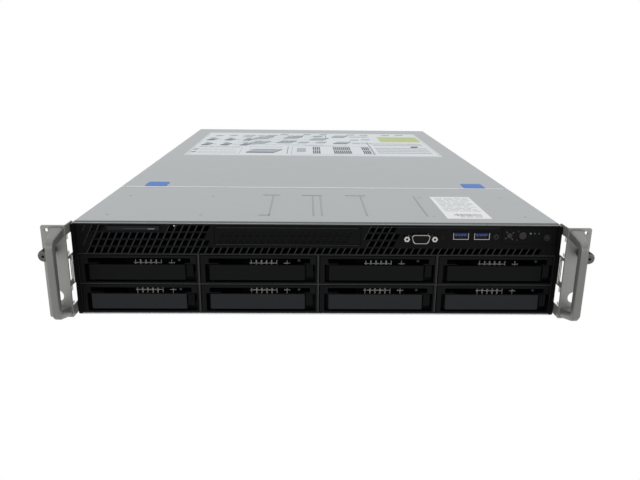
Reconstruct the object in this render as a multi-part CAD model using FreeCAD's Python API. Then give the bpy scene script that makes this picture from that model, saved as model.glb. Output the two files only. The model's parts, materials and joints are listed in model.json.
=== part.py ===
# A 2U rack server for a 19-inch rack, with eight 3.5-inch hot-swap drive bays.
#
# Millimetres.  Pieces are drawn with y = 0 at the face of the bezel, x = 0 at the
# middle and z = 0 at the underside.  save() then shifts them along Y, so that the
# origin is the bottom centre of the whole object.  The front looks along -Y.
import FreeCAD, Part
import math
import os

V = FreeCAD.Vector

# --- Driving dimensions: the chassis -------------------------------------------
CHASSIS_WIDTH = 438.0
CHASSIS_HEIGHT = 87.3
CHASSIS_DEPTH = 712.0
SHEET = 1.2                 # steel of the tray
COVER_T = 1.1               # steel of the two covers
JOGGLE_Z = 73.0             # the side walls step inward above this height
COVER_SKIRT_Z = 74.5        # the covers' side skirts reach down to here
COVER_SEAM_Y = 154.6        # rear edge of the fixed front cover
SEAM_GAP = 1.0

# --- Driving dimensions: the rack interface --------------------------------------
RACK_WIDTH = 482.6
RACK_HOLE_X = 465.1 / 2
RACK_HOLE_R = 5.3
PANEL_TOP = 87.9
THUMBSCREW_Z = 66.3         # rack hole heights, from the underside of the chassis
LOWER_HOLE_Z = 22.6
PIN_HOLE = (236.2, 83.6, 1.7)   # small hole in the upper corner of a flange: x, z, radius
EAR_T = 2.0
EAR_Y = -12.6               # front plane of the rack flanges
EAR_INNER_X = 220.4
EAR_BOTTOM_Z = 2.2
EAR_SIDE_T = 1.2            # sheet of the side plate where it carries the catch windows
EAR_SIDE_LENGTH = 62.0
HANDLE_FRONT_Y = -45.0
LIP_X = (216.4, 219.6)      # the bezel's edge strips stand in front of the side walls

# --- Driving dimensions: the drive bays -------------------------------------------
BAY_PITCH = 108.6
BAY_WIDTH = 106.4
BAY_HEIGHT = 26.8
BAY_FLOORS = (30.4, 2.2)    # upper row, lower row
CAGE_SIDE_X = 217.2
CAGE_TOP = 58.2
CAGE_Y = (1.0, 196.0)
CARRIER_HALF = 52.9
CARRIER_HEIGHT = 26.4
BEZEL_Y = (0.5, 10.0)
POCKET_BACK_Y = 8.4
POCKET_Z = (1.0, 18.3)
VENT_Z = (19.3, 23.8)
GAP_U = (-36.0, 42.0)       # between these the vent runs on down to the lever
GAP_FLOOR = 14.4
SHIELD_U = (-17.5, 30.0)    # contact shield behind the vent
SHIELD_Y = (24.0, 25.2)
SHIELD_Z = (5.0, 15.0)
LEVER_Z = (3.7, 18.1)
HINGE_U = -42.0             # lever hinge, from the middle of the carrier
HINGE_Y = 4.0
LEVER_U = (-44.4, 42.5)
DRIVE_SIZE = (101.6, 147.0, 26.1)
DRIVE_FRONT_Y = 41.0

# --- Driving dimensions: the grille -------------------------------------------------
GRILLE_X = 217.6
GRILLE_TOP = CHASSIS_HEIGHT - COVER_T
GRILLE_T = 1.6
HOLE_PITCH = 6.2
HOLE_W = 4.5
HOLE_H = 5.0
HOLE_SLANT = 0.5            # sideways lean per unit of height
ROW_PITCH = 6.8
FIRST_ROW_Z = 59.5
OPTICAL_X = (-93.4, 38.4)
OPTICAL_Z = (68.0, 84.6)
TAB_X = (-187.6, -141.4)
TAB_Z = (80.6, 84.0)
PANEL_X = (165.6, 215.4)
PANEL_Z = (69.4, 84.8)
VGA_X = 91.8
PORT_Z = 74.5
JACK_PITCH = 25.0
USB_X = (128.4, 147.4)
USB_Z = 77.0
FRONT_BOARD_Y = 8.0
NMI_X = 160.6

# --- Driving dimensions: the inside ---------------------------------------------------
FAN_PITCH = 71.0
FAN_Y = (226.0, 264.0)
FAN_R = 29.0
FAN_Z = 38.0
ROTOR_HUB_R = 13.0
BOARD_Z = (8.0, 9.6)
CPU_X = 102.0
CPU_Y = 395.0
DIMM_PITCH = 9.4
SOCKET_TOP = 17.0
DUCT_TOP = 77.6
PSU_SIZE = (73.5, 185.0, 40.0)
PSU_X = (105.0, 180.5)
PSU_HANDLE_REACH = 26.0
PSU_WALL_X = 66.6
RISER_SPANS = ((-208.0, -86.0), (-76.0, 46.0), (76.0, 198.0))
RISER_SHEET_Z = 46.0
SLOT_FLOORS = (47.0, 66.0)
SLOT_HEIGHT = 17.0
LAN_X = (-196.0, -104.0, -87.0, -70.0, -53.0)
JACK_W = 16.0
REAR_USB_X = (-185.0, -165.0)
REAR_VIDEO_X = (-158.0, -117.0)
REAR_PORT_H = 13.5
PORT_CLEARANCE = 0.4
CONNECTOR_Y = (690.0, 712.6)

REAR_WALL_Y = CHASSIS_DEPTH - SHEET
Y_SHIFT = -(HANDLE_FRONT_Y + CHASSIS_DEPTH + PSU_HANDLE_REACH) / 2


# --- Helpers ----------------------------------------------------------------------------
def block(x, y, z):
    """A box from three (low, high) pairs."""
    return Part.makeBox(x[1] - x[0], y[1] - y[0], z[1] - z[0], V(x[0], y[0], z[0]))


def prism(points, direction):
    wire = Part.makePolygon(points + [points[0]])
    return Part.Face(wire).extrude(direction)


def along_x(outline, x):
    """An outline of (y, z) points, drawn out along X."""
    return prism([V(x[0], y, z) for y, z in outline], V(x[1] - x[0], 0, 0))


def along_y(outline, y):
    """An outline of (x, z) points, drawn out along Y."""
    return prism([V(x, y[0], z) for x, z in outline], V(0, y[1] - y[0], 0))


def along_z(outline, z):
    """An outline of (x, y) points, drawn out along Z."""
    return prism([V(x, y, z[0]) for x, y in outline], V(0, 0, z[1] - z[0]))


def disc(x, z, radius, y):
    """A round bar along Y."""
    return Part.makeCylinder(radius, y[1] - y[0], V(x, y[0], z), V(0, 1, 0))


def ring(x, z, radius, sides, turn=0.0):
    """Corners of a many-sided outline about (x, z)."""
    angles = [math.radians(turn + 360.0 * k / sides) for k in range(sides)]
    return [(x + radius * math.cos(a), z + radius * math.sin(a)) for a in angles]


def faceted(x, z, radius, sides, y):
    """A many-sided bar along Y, where a true cylinder would be needlessly heavy."""
    return along_y(ring(x, z, radius, sides), y)


def union(solids):
    joined = solids[0].multiFuse(solids[1:]) if len(solids) > 1 else solids[0]
    return joined.removeSplitter()


def cut(solid, tools):
    return solid.cut(Part.makeCompound(tools)) if tools else solid


def mirrored(shape):
    return shape.mirror(V(0, 0, 0), V(1, 0, 0))


def inset(span, by):
    return (span[0] + by, span[1] - by)


def save(name, *solids):
    shape = solids[0] if len(solids) == 1 else Part.makeCompound(list(solids))
    shape = shape.copy()
    shape.translate(V(0, Y_SHIFT, 0))
    shape.exportStep(os.path.join("parts", name + ".step"))


# --- Chassis and covers --------------------------------------------------------------------
def wall_profile():
    """Half of the folded tray in section: floor, joggled side wall and top lip."""
    half = CHASSIS_WIDTH / 2
    step = COVER_T + 0.2
    lip = 9.0
    top = CHASSIS_HEIGHT - COVER_T
    return [
        (0, 0),
        (half, 0),
        (half, JOGGLE_Z),
        (half - step, JOGGLE_Z + step),
        (half - step, top),
        (half - step - lip, top),
        (half - step - lip, top - SHEET),
        (half - step - SHEET, top - SHEET),
        (half - step - SHEET, JOGGLE_Z + step),
        (half - SHEET, JOGGLE_Z),
        (half - SHEET, SHEET),
        (0, SHEET),
    ]


def rear_connector_cuts(y):
    """Windows in the rear wall: the four ganged network jacks share one."""
    half = JACK_W / 2
    spans = [
        (LAN_X[0] - half, LAN_X[0] + half),
        (LAN_X[1] - half, LAN_X[-1] + half),
        REAR_USB_X,
        REAR_VIDEO_X,
    ]
    z = inset((BOARD_Z[1], BOARD_Z[1] + REAR_PORT_H), -PORT_CLEARANCE)
    return [block(inset(span, -PORT_CLEARANCE), y, z) for span in spans]


def chassis_tray():
    half = along_y(wall_profile(), (0.0, CHASSIS_DEPTH))
    lip_notch = block((200, 220), (-1, 1.6), (JOGGLE_Z, CHASSIS_HEIGHT))
    half = half.cut(lip_notch)
    wall_x = (0, CHASSIS_WIDTH / 2 - 2.5)
    rear_half = block(wall_x, (REAR_WALL_Y, CHASSIS_DEPTH), (0.6, GRILLE_TOP - SHEET))
    shell = union([half, mirrored(half), rear_half, mirrored(rear_half)])

    through = (REAR_WALL_Y - 1, CHASSIS_DEPTH + 1)
    windows = rear_connector_cuts(through)
    windows.append(block((PSU_WALL_X + SHEET, 217.7), through, (SHEET, 42.4)))
    for span in RISER_SPANS:
        for floor in SLOT_FLOORS:
            windows.append(block(inset(span, 4), through, (floor, floor + SLOT_HEIGHT)))
    for k in range(8):
        x = -30.0 + 11.0 * k
        windows.append(block((x, x + 7.0), through, (14.0, 34.0)))
    shell = cut(shell, windows)

    psu_walls = along_y(
        [
            (PSU_WALL_X, 1.0),
            (PSU_WALL_X + SHEET, 1.0),
            (PSU_WALL_X + SHEET, 42.4),
            (217.9, 42.4),
            (217.9, 42.4 + SHEET),
            (PSU_WALL_X, 42.4 + SHEET),
        ],
        (CHASSIS_DEPTH - PSU_SIZE[1] - 4.0, REAR_WALL_Y + 0.4),
    )
    middle = sum(PSU_X) / 2
    divider = block((middle - 0.5, middle + 0.5), (CHASSIS_DEPTH - PSU_SIZE[1], REAR_WALL_Y), (1.0, 43.0))
    standoffs = []
    for x in (-200.0, 50.0):
        for y in (300.0, 480.0, 690.0):
            standoffs.append(along_z(ring(x, y, 3.2, 6), (1.0, BOARD_Z[0])))
    save("chassis_tray", union([shell, psu_walls, divider] + standoffs))


def cover_profile():
    """A cover in section: a flat skin with a short skirt down each side."""
    half = CHASSIS_WIDTH / 2
    right = [
        (half, COVER_SKIRT_Z),
        (half, CHASSIS_HEIGHT - 0.8),
        (half - 0.8, CHASSIS_HEIGHT),
    ]
    inner = [
        (half - COVER_T, GRILLE_TOP),
        (half - COVER_T, COVER_SKIRT_Z),
    ]
    outline = right + [(-x, z) for x, z in reversed(right)]
    outline += [(-x, z) for x, z in reversed(inner)]
    return outline + inner


def front_cover():
    skin = along_y(cover_profile(), (0.0, COVER_SEAM_Y))
    tongue = block((-204, 204), (COVER_SEAM_Y - 14, COVER_SEAM_Y + 9), (GRILLE_TOP - 1.0, GRILLE_TOP))
    save("front_cover", union([skin, tongue]))


def rear_cover():
    front = COVER_SEAM_Y + SEAM_GAP
    skin = along_y(cover_profile(), (front, CHASSIS_DEPTH + 0.3))
    rear_fold = block((-214, 214), (CHASSIS_DEPTH, CHASSIS_DEPTH + COVER_T), (84.2, CHASSIS_HEIGHT))
    stiffeners = []
    for y in (270.0, 520.0):
        stiffeners.append(block((-190, 190), (y, y + 14), (GRILLE_TOP - 0.8, GRILLE_TOP + 0.2)))
    save("rear_cover", union([skin, rear_fold] + stiffeners))
    pad = along_z(
        [
            (171.4, 159.5),
            (191.6, 159.5),
            (193.6, 161.5),
            (193.6, 182),
            (191.6, 184),
            (171.4, 184),
            (169.4, 182),
            (169.4, 161.5),
        ],
        (CHASSIS_HEIGHT, CHASSIS_HEIGHT + 0.35),
    )
    save("cover_touch_pads", pad, mirrored(pad))


# --- Rack ears, handles and thumbscrews ------------------------------------------------------
def ear():
    """The right-hand flange with its side plate and the heads of the screws that hold it."""
    edge = RACK_WIDTH / 2
    flange = along_y(
        [
            (EAR_INNER_X, EAR_BOTTOM_Z),
            (edge - 1, EAR_BOTTOM_Z),
            (edge, EAR_BOTTOM_Z + 1),
            (edge, PANEL_TOP - 1),
            (edge - 1, PANEL_TOP),
            (EAR_INNER_X, PANEL_TOP),
        ],
        (EAR_Y, EAR_Y + EAR_T),
    )
    through = (EAR_Y - 1, EAR_Y + EAR_T + 1)
    holes = [disc(RACK_HOLE_X, LOWER_HOLE_Z, RACK_HOLE_R, through)]
    holes.append(faceted(*PIN_HOLE, 12, through))
    holes.append(faceted(RACK_HOLE_X, THUMBSCREW_Z, 2.9, 10, through))
    outer = (EAR_INNER_X, EAR_INNER_X + EAR_SIDE_T)
    front_part = along_x(
        [
            (EAR_Y + 1, EAR_BOTTOM_Z),
            (10.0, EAR_BOTTOM_Z),
            (10.0, 84.0),
            (6.0, PANEL_TOP - 0.4),
            (EAR_Y + 1, PANEL_TOP - 0.4),
        ],
        outer,
    )
    windows = []
    window_y = (EAR_Y + EAR_T, 4.6)
    for z in ((12.4, 31.0), (59.0, 78.5)):
        windows.append(block(inset(outer, -1), window_y, z))
    windows.append(block(inset(outer, -1), (window_y[0], -5.0), (36.0, 56.5)))
    half = CHASSIS_WIDTH / 2
    rear_part = along_x(
        [
            (8.0, EAR_BOTTOM_Z),
            (EAR_SIDE_LENGTH - 16, EAR_BOTTOM_Z),
            (EAR_SIDE_LENGTH, 14.0),
            (EAR_SIDE_LENGTH, 70.0),
            (EAR_SIDE_LENGTH - 16, 84.0),
            (8.0, 84.0),
        ],
        (half, half + EAR_T),
    )
    outside = half + EAR_T
    screws = []
    for y, z in ((28.0, 18.0), (28.0, 68.0), (52.0, 43.0)):
        screws.append(along_x(ring(y, z, 3.2, 6), (outside - 0.4, outside + 1.4)))
    return union([cut(flange, holes), cut(front_part, windows), rear_part] + screws)


def handle():
    """A cast grip: a slim bar in front of the flange on two arms that splay towards it."""
    root = EAR_Y
    outline = [
        (root, 3.2),
        (-40.0, 10.6),
        (-43.6, 13.0),
        (HANDLE_FRONT_Y, 16.6),
        (HANDLE_FRONT_Y, 77.6),
        (-44.0, 81.0),
        (-41.2, 83.4),
        (-37.0, 84.4),
        (root, 86.2),
    ]
    opening = [
        (root + 1, 12.8),
        (-33.6, 18.4),
        (-36.4, 21.0),
        (-37.0, 24.0),
        (-37.0, 71.0),
        (-36.2, 74.2),
        (-33.0, 76.0),
        (root + 1, 77.8),
    ]
    plan = [
        (221.2, root),
        (234.6, root),
        (226.2, -36.0),
        (226.0, HANDLE_FRONT_Y),
        (219.7, HANDLE_FRONT_Y),
        (219.7, -36.0),
    ]
    across = (215.0, 240.0)
    loop = along_x(outline, across).cut(along_x(opening, inset(across, -1)))
    return loop.common(along_z(plan, (0.0, CHASSIS_HEIGHT)))


def rack_hardware():
    right_ear = ear()
    save("rack_ears", right_ear, mirrored(right_ear))
    right_handle = handle()
    save("rack_handles", right_handle, mirrored(right_handle))
    points = 20
    ridges = ring(0, THUMBSCREW_Z, 5.3, points)
    grooves = ring(0, THUMBSCREW_Z, 4.8, points)
    knurl = [ridges[k] if k % 2 else grooves[k] for k in range(points)]
    head = along_y(knurl, (-32.6, -18.0))
    crown = faceted(0, THUMBSCREW_Z, 4.3, 8, (-34.0, -32.4))
    collar = faceted(0, THUMBSCREW_Z, 3.8, 8, (-18.2, EAR_Y - 0.4))
    shank = faceted(0, THUMBSCREW_Z, 2.4, 6, (EAR_Y - 0.6, -2.0))
    clip = faceted(0, THUMBSCREW_Z, 3.9, 8, (-9.6, -8.6))
    screw = union([head, crown, collar, shank, clip])
    for name, x in (("thumbscrew_left", -RACK_HOLE_X), ("thumbscrew_right", RACK_HOLE_X)):
        placed = screw.copy()
        placed.translate(V(x, 0, 0))
        save(name, placed)


# --- Front grille, optical filler, ports and operator panel --------------------------------------
def slanted_hole(x, z, width, height, y):
    lean = HOLE_SLANT * height
    outline = [(x, z), (x + width, z), (x + width + lean, z + height), (x + lean, z + height)]
    return along_y(outline, y)


def overlaps(x0, x1, z0, z1, zone):
    return x1 > zone[0] and x0 < zone[1] and z1 > zone[2] and z0 < zone[3]


def grille_holes():
    """Rows of slanted holes wherever the strip is not taken by something else."""
    solid_zones = [
        (OPTICAL_X[0] - 1.6, OPTICAL_X[1] + 1.6, OPTICAL_Z[0] - 1.0, 90.0),
        (TAB_X[0] - 1.5, TAB_X[1] + 1.5, TAB_Z[0] - 1.5, 90.0),
        (74.0, 220.0, 65.0, 90.0),
    ]
    holes = []
    for row in range(4):
        z = FIRST_ROW_Z + ROW_PITCH * row
        shift = HOLE_SLANT * ROW_PITCH * row
        for k in range(70):
            x = -213.0 + shift + HOLE_PITCH * (k - 3)
            reach = x + HOLE_W + HOLE_SLANT * HOLE_H
            if x < -208.5 or reach > 207.0:
                continue
            if any(overlaps(x, reach, z, z + HOLE_H, zone) for zone in solid_zones):
                continue
            holes.append(slanted_hole(x, z, HOLE_W, HOLE_H, (-1.0, GRILLE_T + 1.0)))
    return holes


def vga_outline(grow, lift=0.0):
    """The D outline of the video connector, grown by a margin."""
    wide = 8.3 + grow
    narrow = 7.0 + grow
    tall = 4.1 + grow
    z = PORT_Z + lift
    corner = 1.6
    return [
        (VGA_X - narrow + corner, z - tall),
        (VGA_X + narrow - corner, z - tall),
        (VGA_X + narrow, z - tall + corner),
        (VGA_X + wide, z + tall - corner),
        (VGA_X + wide - corner, z + tall),
        (VGA_X - wide + corner, z + tall),
        (VGA_X - wide, z + tall - corner),
        (VGA_X - narrow, z - tall + corner),
    ]


def front_grille():
    plate = block((-GRILLE_X, GRILLE_X), (0.0, GRILLE_T), (CAGE_TOP, GRILLE_TOP))
    through = (-1.0, GRILLE_T + 1.0)
    openings = grille_holes()
    openings.append(block(OPTICAL_X, through, OPTICAL_Z))
    openings.append(block((TAB_X[0] - 0.4, TAB_X[1] + 0.4), through, (TAB_Z[0], TAB_Z[1] + 0.4)))
    openings.append(block(PANEL_X, through, PANEL_Z))
    openings.append(along_y(vga_outline(0.5), through))
    for x in (VGA_X - JACK_PITCH / 2, VGA_X + JACK_PITCH / 2):
        openings.append(block((x - 3.0, x + 3.0), through, (PORT_Z - 3.0, PORT_Z + 3.0)))
    for x in USB_X:
        openings.append(block((x - 7.4, x + 7.4), through, (USB_Z - 3.8, USB_Z + 3.8)))
    openings.append(faceted(NMI_X, 76.0, 1.4, 12, through))
    plate = cut(plate, openings)
    sides = [block((GRILLE_X - 1.6, GRILLE_X), (0.8, 14.0), (CAGE_TOP, JOGGLE_Z - 0.5))]
    sides.append(block(LIP_X, (-1.6, -0.2), (1.2, GRILLE_TOP)))
    sides.append(block((LIP_X[0], GRILLE_X), (-0.4, 0.4), (CAGE_TOP, GRILLE_TOP)))
    sides += [mirrored(side) for side in sides]
    sill = block((-GRILLE_X, GRILLE_X), (0.8, 9.0), (CAGE_TOP, CAGE_TOP + 1.0))
    x0, x1 = TAB_X
    guide = along_y(
        [
            (x0 - 2.0, TAB_Z[0] - 1.2),
            (x1 + 2.0, TAB_Z[0] - 1.2),
            (x1 + 2.0, TAB_Z[1]),
            (x1 + 0.4, TAB_Z[1]),
            (x1 + 0.4, TAB_Z[0]),
            (x0 - 0.4, TAB_Z[0]),
            (x0 - 0.4, TAB_Z[1]),
            (x0 - 2.0, TAB_Z[1]),
        ],
        (0.8, 66.0),
    )
    posts = []
    for x in (112.5, 157.0):
        posts.append(block((x - 1.5, x + 1.5), (0.8, FRONT_BOARD_Y), (68.0, 71.0)))
    boss = faceted(NMI_X, 76.0, 3.0, 8, (0.8, 5.0)).cut(faceted(NMI_X, 76.0, 1.4, 12, (0.0, 6.0)))
    save("front_grille", union([plate, sill, guide, boss] + sides + posts))


def optical_filler():
    x = inset(OPTICAL_X, 0.3)
    z = inset(OPTICAL_Z, 0.3)
    face = block(x, (0.4, 2.0), z)
    recesses = []
    for row in range(2):
        for k in range(19):
            left = x[0] + 3.0 + HOLE_PITCH * k + HOLE_SLANT * 5.3 * row
            recesses.append(slanted_hole(left, z[0] + 1.4 + 5.3 * row, 4.2, 4.2, (0, 1.4)))
    face = cut(face, recesses)
    ledge = block((x[0] + 1, x[1] - 1), (0.0, 0.8), (z[1] - 3.2, z[1] - 1.4))
    tub = block(x, (1.2, 16.0), z).cut(block(inset(x, 1.4), (0.9, 17.0), inset(z, 1.4)))
    save("optical_filler", union([face, ledge, tub]))


def front_ports():
    board = block((76.0, 164.0), (FRONT_BOARD_Y, FRONT_BOARD_Y + 1.6), (67.0, 84.0))
    shell = along_y(vga_outline(0.0), (-4.6, FRONT_BOARD_Y + 0.2))
    shell = shell.cut(along_y(vga_outline(-0.55), (-5.0, 3.0)))
    core = along_y(vga_outline(-1.3), (-3.9, 4.0))
    pieces = [board, shell, core]
    for x in (VGA_X - JACK_PITCH / 2, VGA_X + JACK_PITCH / 2):
        jack = faceted(x, PORT_Z, 2.75, 6, (-4.0, FRONT_BOARD_Y + 0.2))
        pieces.append(jack.cut(faceted(x, PORT_Z, 1.5, 6, (-4.5, 2.0))))
    for x in USB_X:
        sleeve = block((x - 7.0, x + 7.0), (-0.8, FRONT_BOARD_Y + 0.2), (USB_Z - 3.4, USB_Z + 3.4))
        sleeve = sleeve.cut(block((x - 6.5, x + 6.5), (-1.0, 7.4), (USB_Z - 2.9, USB_Z + 2.9)))
        tongue = block((x - 5.6, x + 5.6), (0.6, 7.6), (USB_Z + 0.2, USB_Z + 2.2))
        pieces += [sleeve, tongue]
    save("front_ports", union(pieces))


BUTTONS = {
    "power_button": (184.6, 77.4, 3.5),
    "id_button": (172.6, 77.4, 2.4),
    "reset_button": (207.0, 75.6, 1.5),
}


def operator_panel():
    """The small panel with its buttons; each button has a collar that keeps it in its well."""
    face = block(inset(PANEL_X, 0.3), (-0.2, 2.2), inset(PANEL_Z, 0.3))
    body = block(inset(PANEL_X, 1.6), (1.4, 20.0), inset(PANEL_Z, 1.6))
    wells = []
    for x, z, radius in BUTTONS.values():
        wells.append(faceted(x, z, radius + 0.35, 12, (-1.0, 2.4)))
        wells.append(faceted(x, z, radius + 1.35, 6, (2.2, 8.0)))
    for x in (191.6, 195.4, 199.2):
        wells.append(block((x - 0.8, x + 0.8), (-1.0, 1.0), (78.6, 80.2)))
    save("control_panel", union([face, body]).cut(Part.makeCompound(wells)))
    for name, (x, z, radius) in BUTTONS.items():
        cap = faceted(x, z, radius, 12, (-0.7, 3.0))
        collar = faceted(x, z, radius + 1.0, 6, (2.5, 5.6))
        save(name, union([cap, collar]))
    save("nmi_button", faceted(NMI_X, 76.0, 1.0, 8, (0.9, 7.0)))


def info_tab():
    """The pull-out information card in its guide."""
    card = block((TAB_X[0], TAB_X[1]), (-0.4, 62.0), TAB_Z)
    lip = along_x([(-1.8, 81.2), (0.0, TAB_Z[0]), (0.0, 84.5), (-1.8, 84.5)], (TAB_X[0], TAB_X[1]))
    save("info_tab", union([card, lip]))


# --- Drive cage, carriers, levers and latches -------------------------------------------------------
def bay_centre(column):
    return BAY_PITCH * (column - 1.5)


def bays():
    """(number, middle x, floor z) of each bay, top row first, left to right."""
    number = 0
    for floor in BAY_FLOORS:
        for column in range(4):
            number += 1
            yield number, bay_centre(column), floor


def drive_cage():
    body = block((-CAGE_SIDE_X, CAGE_SIDE_X), CAGE_Y, (SHEET, CAGE_TOP))
    cells = []
    for _, x, floor in bays():
        span = (x - BAY_WIDTH / 2, x + BAY_WIDTH / 2)
        cells.append(block(span, (0, CAGE_Y[1] + 1), (floor, floor + BAY_HEIGHT)))
    for k in range(4):
        x = bay_centre(k)
        cells.append(block((x - 36, x + 36), (80.0, 160.0), (CAGE_TOP - 2, CAGE_TOP + 1)))
    save("drive_cage", cut(body, cells))


def carrier_bezel():
    """Moulded front of a carrier: lever pocket, open vent above it, contact shield behind."""
    half = CARRIER_HALF
    body = along_z(
        [
            (-half, BEZEL_Y[0] + 0.8),
            (-half + 0.8, BEZEL_Y[0]),
            (half - 0.8, BEZEL_Y[0]),
            (half, BEZEL_Y[0] + 0.8),
            (half, BEZEL_Y[1]),
            (-half, BEZEL_Y[1]),
        ],
        (0.0, CARRIER_HEIGHT),
    )
    pocket = along_z(
        [
            (-48.2, -1.0),
            (51.9, -1.0),
            (51.9, POCKET_BACK_Y),
            (-46.2, POCKET_BACK_Y),
            (-48.2, POCKET_BACK_Y - 2.0),
        ],
        POCKET_Z,
    )
    vent = block((-45.0, 47.0), (-1.0, BEZEL_Y[1] + 1), VENT_Z)
    latch_slot = block((44.4, 50.6), (POCKET_BACK_Y - 1, BEZEL_Y[1] + 1), (9.3, 13.7))
    gap = block(GAP_U, (-1.0, BEZEL_Y[1] + 1), (GAP_FLOOR, VENT_Z[0] + 0.1))
    body = cut(body, [pocket, vent, gap, latch_slot])
    pin = along_z(ring(HINGE_U, HINGE_Y, 1.05, 6), (POCKET_Z[0] - 0.2, POCKET_Z[1] + 0.2))
    shield = along_x(
        [
            (BEZEL_Y[1] - 0.8, SHIELD_Z[0]),
            (SHIELD_Y[1], SHIELD_Z[0]),
            (SHIELD_Y[1], SHIELD_Z[1]),
            (SHIELD_Y[0], SHIELD_Z[1]),
            (SHIELD_Y[0], SHIELD_Z[0] + 1.0),
            (BEZEL_Y[1] - 0.8, SHIELD_Z[0] + 1.0),
        ],
        SHIELD_U,
    )
    return union([body, pin, shield])


def carrier_frame():
    """Two rails behind the bezel, joined by a strap at the rear."""
    rear = CAGE_Y[1] - 6.2
    pieces = []
    for sign in (-1, 1):
        x = sorted((sign * 50.95, sign * 52.4))
        rail = block(x, (BEZEL_Y[1] - 0.6, rear), (1.2, 24.6))
        pieces.append(rail)
    pieces.append(block((-52.0, 52.0), (rear - 1.4, rear), (0.0, 3.2)))
    return pieces


def carrier():
    return union([carrier_bezel()] + carrier_frame())


def drive():
    """A 3.5-inch drive: a cast body that narrows towards its lid."""
    width, length, height = DRIVE_SIZE
    half = width / 2
    y = (DRIVE_FRONT_Y, DRIVE_FRONT_Y + length)
    body = along_y(
        [
            (-half, 0.3),
            (half, 0.3),
            (half, height - 2.2),
            (half - 1.6, height + 0.3),
            (-half + 1.6, height + 0.3),
            (-half, height - 2.2),
        ],
        y,
    )
    return body


def lever():
    """Swing-out lever: a round hinge barrel running into a flat bar with a turned-in tip."""
    u0, u1 = LEVER_U
    bar = along_z(
        [
            (u0, -0.2),
            (u0 + 0.8, -1.0),
            (u1 - 0.8, -1.0),
            (u1, -0.2),
            (u1, 3.0),
            (u1 - 4.0, 3.0),
            (u1 - 5.0, 1.6),
            (-33.0, 1.6),
            (-37.0, 4.0),
            (HINGE_U, 4.0),
        ],
        LEVER_Z,
    )
    barrel = along_z(ring(HINGE_U, HINGE_Y, 2.9, 8), LEVER_Z)
    bore = along_z(ring(HINGE_U, HINGE_Y, 1.6, 6), (0.0, 30.0))
    return union([bar, barrel]).cut(bore)


def latch():
    """Ribbed latch button with a tongue through the bezel's back wall and a catch nose."""
    u0, u1 = 43.2, 49.6
    ribs = 3
    tooth = (u1 - u0) / (2 * ribs)
    front = [(u0, 0.2)]
    for k in range(ribs):
        left = u0 + 2 * k * tooth
        front += [(left + tooth, -0.6), (left + 1.2 * tooth, 0.2)]
        front.append((left + 2 * tooth, 0.2))
    body = along_z(front + [(u1, 6.4), (u0, 6.4)], (6.8, LEVER_Z[1]))
    nose = block((40.8, u0 + 1), (3.5, 5.2), (10.0, 16.0))
    tongue = block((45.0, 48.0), (6.0, 11.4), (9.7, 13.3))
    head = block((45.0, 48.0), (BEZEL_Y[1] + 0.3, 12.0), (7.6, 15.4))
    return union([body, nose, tongue, head])


def drive_bays():
    models = {"drive_carrier": [carrier(), drive()], "carrier_lever": [lever()], "carrier_latch": [latch()]}
    for number, x, floor in bays():
        for name, solids in models.items():
            placed = [solid.copy() for solid in solids]
            for solid in placed:
                solid.translate(V(x, 0, floor))
            save("%s_%d" % (name, number), *placed)


# --- Inside: backplane, fans, main board, supplies -----------------------------------------------------
def backplane():
    board = block((-215.0, 215.0), (CAGE_Y[1], CAGE_Y[1] + 1.6), (SHEET, 66.0))
    windows = []
    connectors = []
    for _, x, floor in bays():
        windows.append(block((x - 20, x + 46), (CAGE_Y[1] - 1, CAGE_Y[1] + 3), (floor + 14, floor + 24)))
        socket_y = (CAGE_Y[1] - 7.4, CAGE_Y[1] + 0.4)
        connectors.append(block((x - 26, x + 12), socket_y, (floor + 4.4, floor + 10.6)))
    save("backplane", union([cut(board, windows)] + connectors))


def fan_centres():
    return [FAN_PITCH * (k - 2.5) for k in range(6)]


def fan_frame(x):
    """One fan module: square housing, round duct and three struts that hold the motor."""
    top = 80.0
    body = along_y(
        [
            (x - 33, SHEET),
            (x + 33, SHEET),
            (x + 33, top),
            (x - 33, top),
        ],
        FAN_Y,
    )
    body = body.cut(faceted(x, FAN_Z, FAN_R, 16, (FAN_Y[0] - 1, FAN_Y[1] + 1)))
    pieces = [body, faceted(x, FAN_Z, 12.6, 6, (FAN_Y[1] - 5, FAN_Y[1] - 1))]
    for k in range(3):
        strut = block((x + 8, x + FAN_R + 1), (FAN_Y[1] - 4, FAN_Y[1] - 1), (FAN_Z - 1.5, FAN_Z + 1.5))
        strut.rotate(V(x, 0, FAN_Z), V(0, 1, 0), 120 * k + 90)
        pieces.append(strut)
    return union(pieces)


def fan_rotor(x):
    hub = faceted(x, FAN_Z, ROTOR_HUB_R, 8, (FAN_Y[0] + 4, FAN_Y[1] - 5))
    blades = []
    for k in range(5):
        blade = block((-9.0, 9.0), (-0.6, 0.6), (ROTOR_HUB_R - 2, 26.4))
        blade.rotate(V(0, 0, 0), V(0, 0, 1), 38)
        blade.translate(V(x, sum(FAN_Y) / 2 - 1, FAN_Z))
        blade.rotate(V(x, 0, FAN_Z), V(0, 1, 0), 72 * k)
        blades.append(blade)
    return union([hub] + blades)


def fans():
    save("fan_frames", *[fan_frame(x) for x in fan_centres()])
    for number, x in enumerate(fan_centres(), 1):
        save("fan_rotor_%d" % number, fan_rotor(x))


def rear_jack(x):
    """A network jack: a shielded block with its socket open to the rear."""
    body = block((x - JACK_W / 2, x + JACK_W / 2), CONNECTOR_Y, (BOARD_Z[1], BOARD_Z[1] + REAR_PORT_H))
    socket = block((x - 5.9, x + 5.9), (698.0, 720.0), (BOARD_Z[1] + 2.4, BOARD_Z[1] + 10.8))
    return body.cut(socket)


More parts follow.
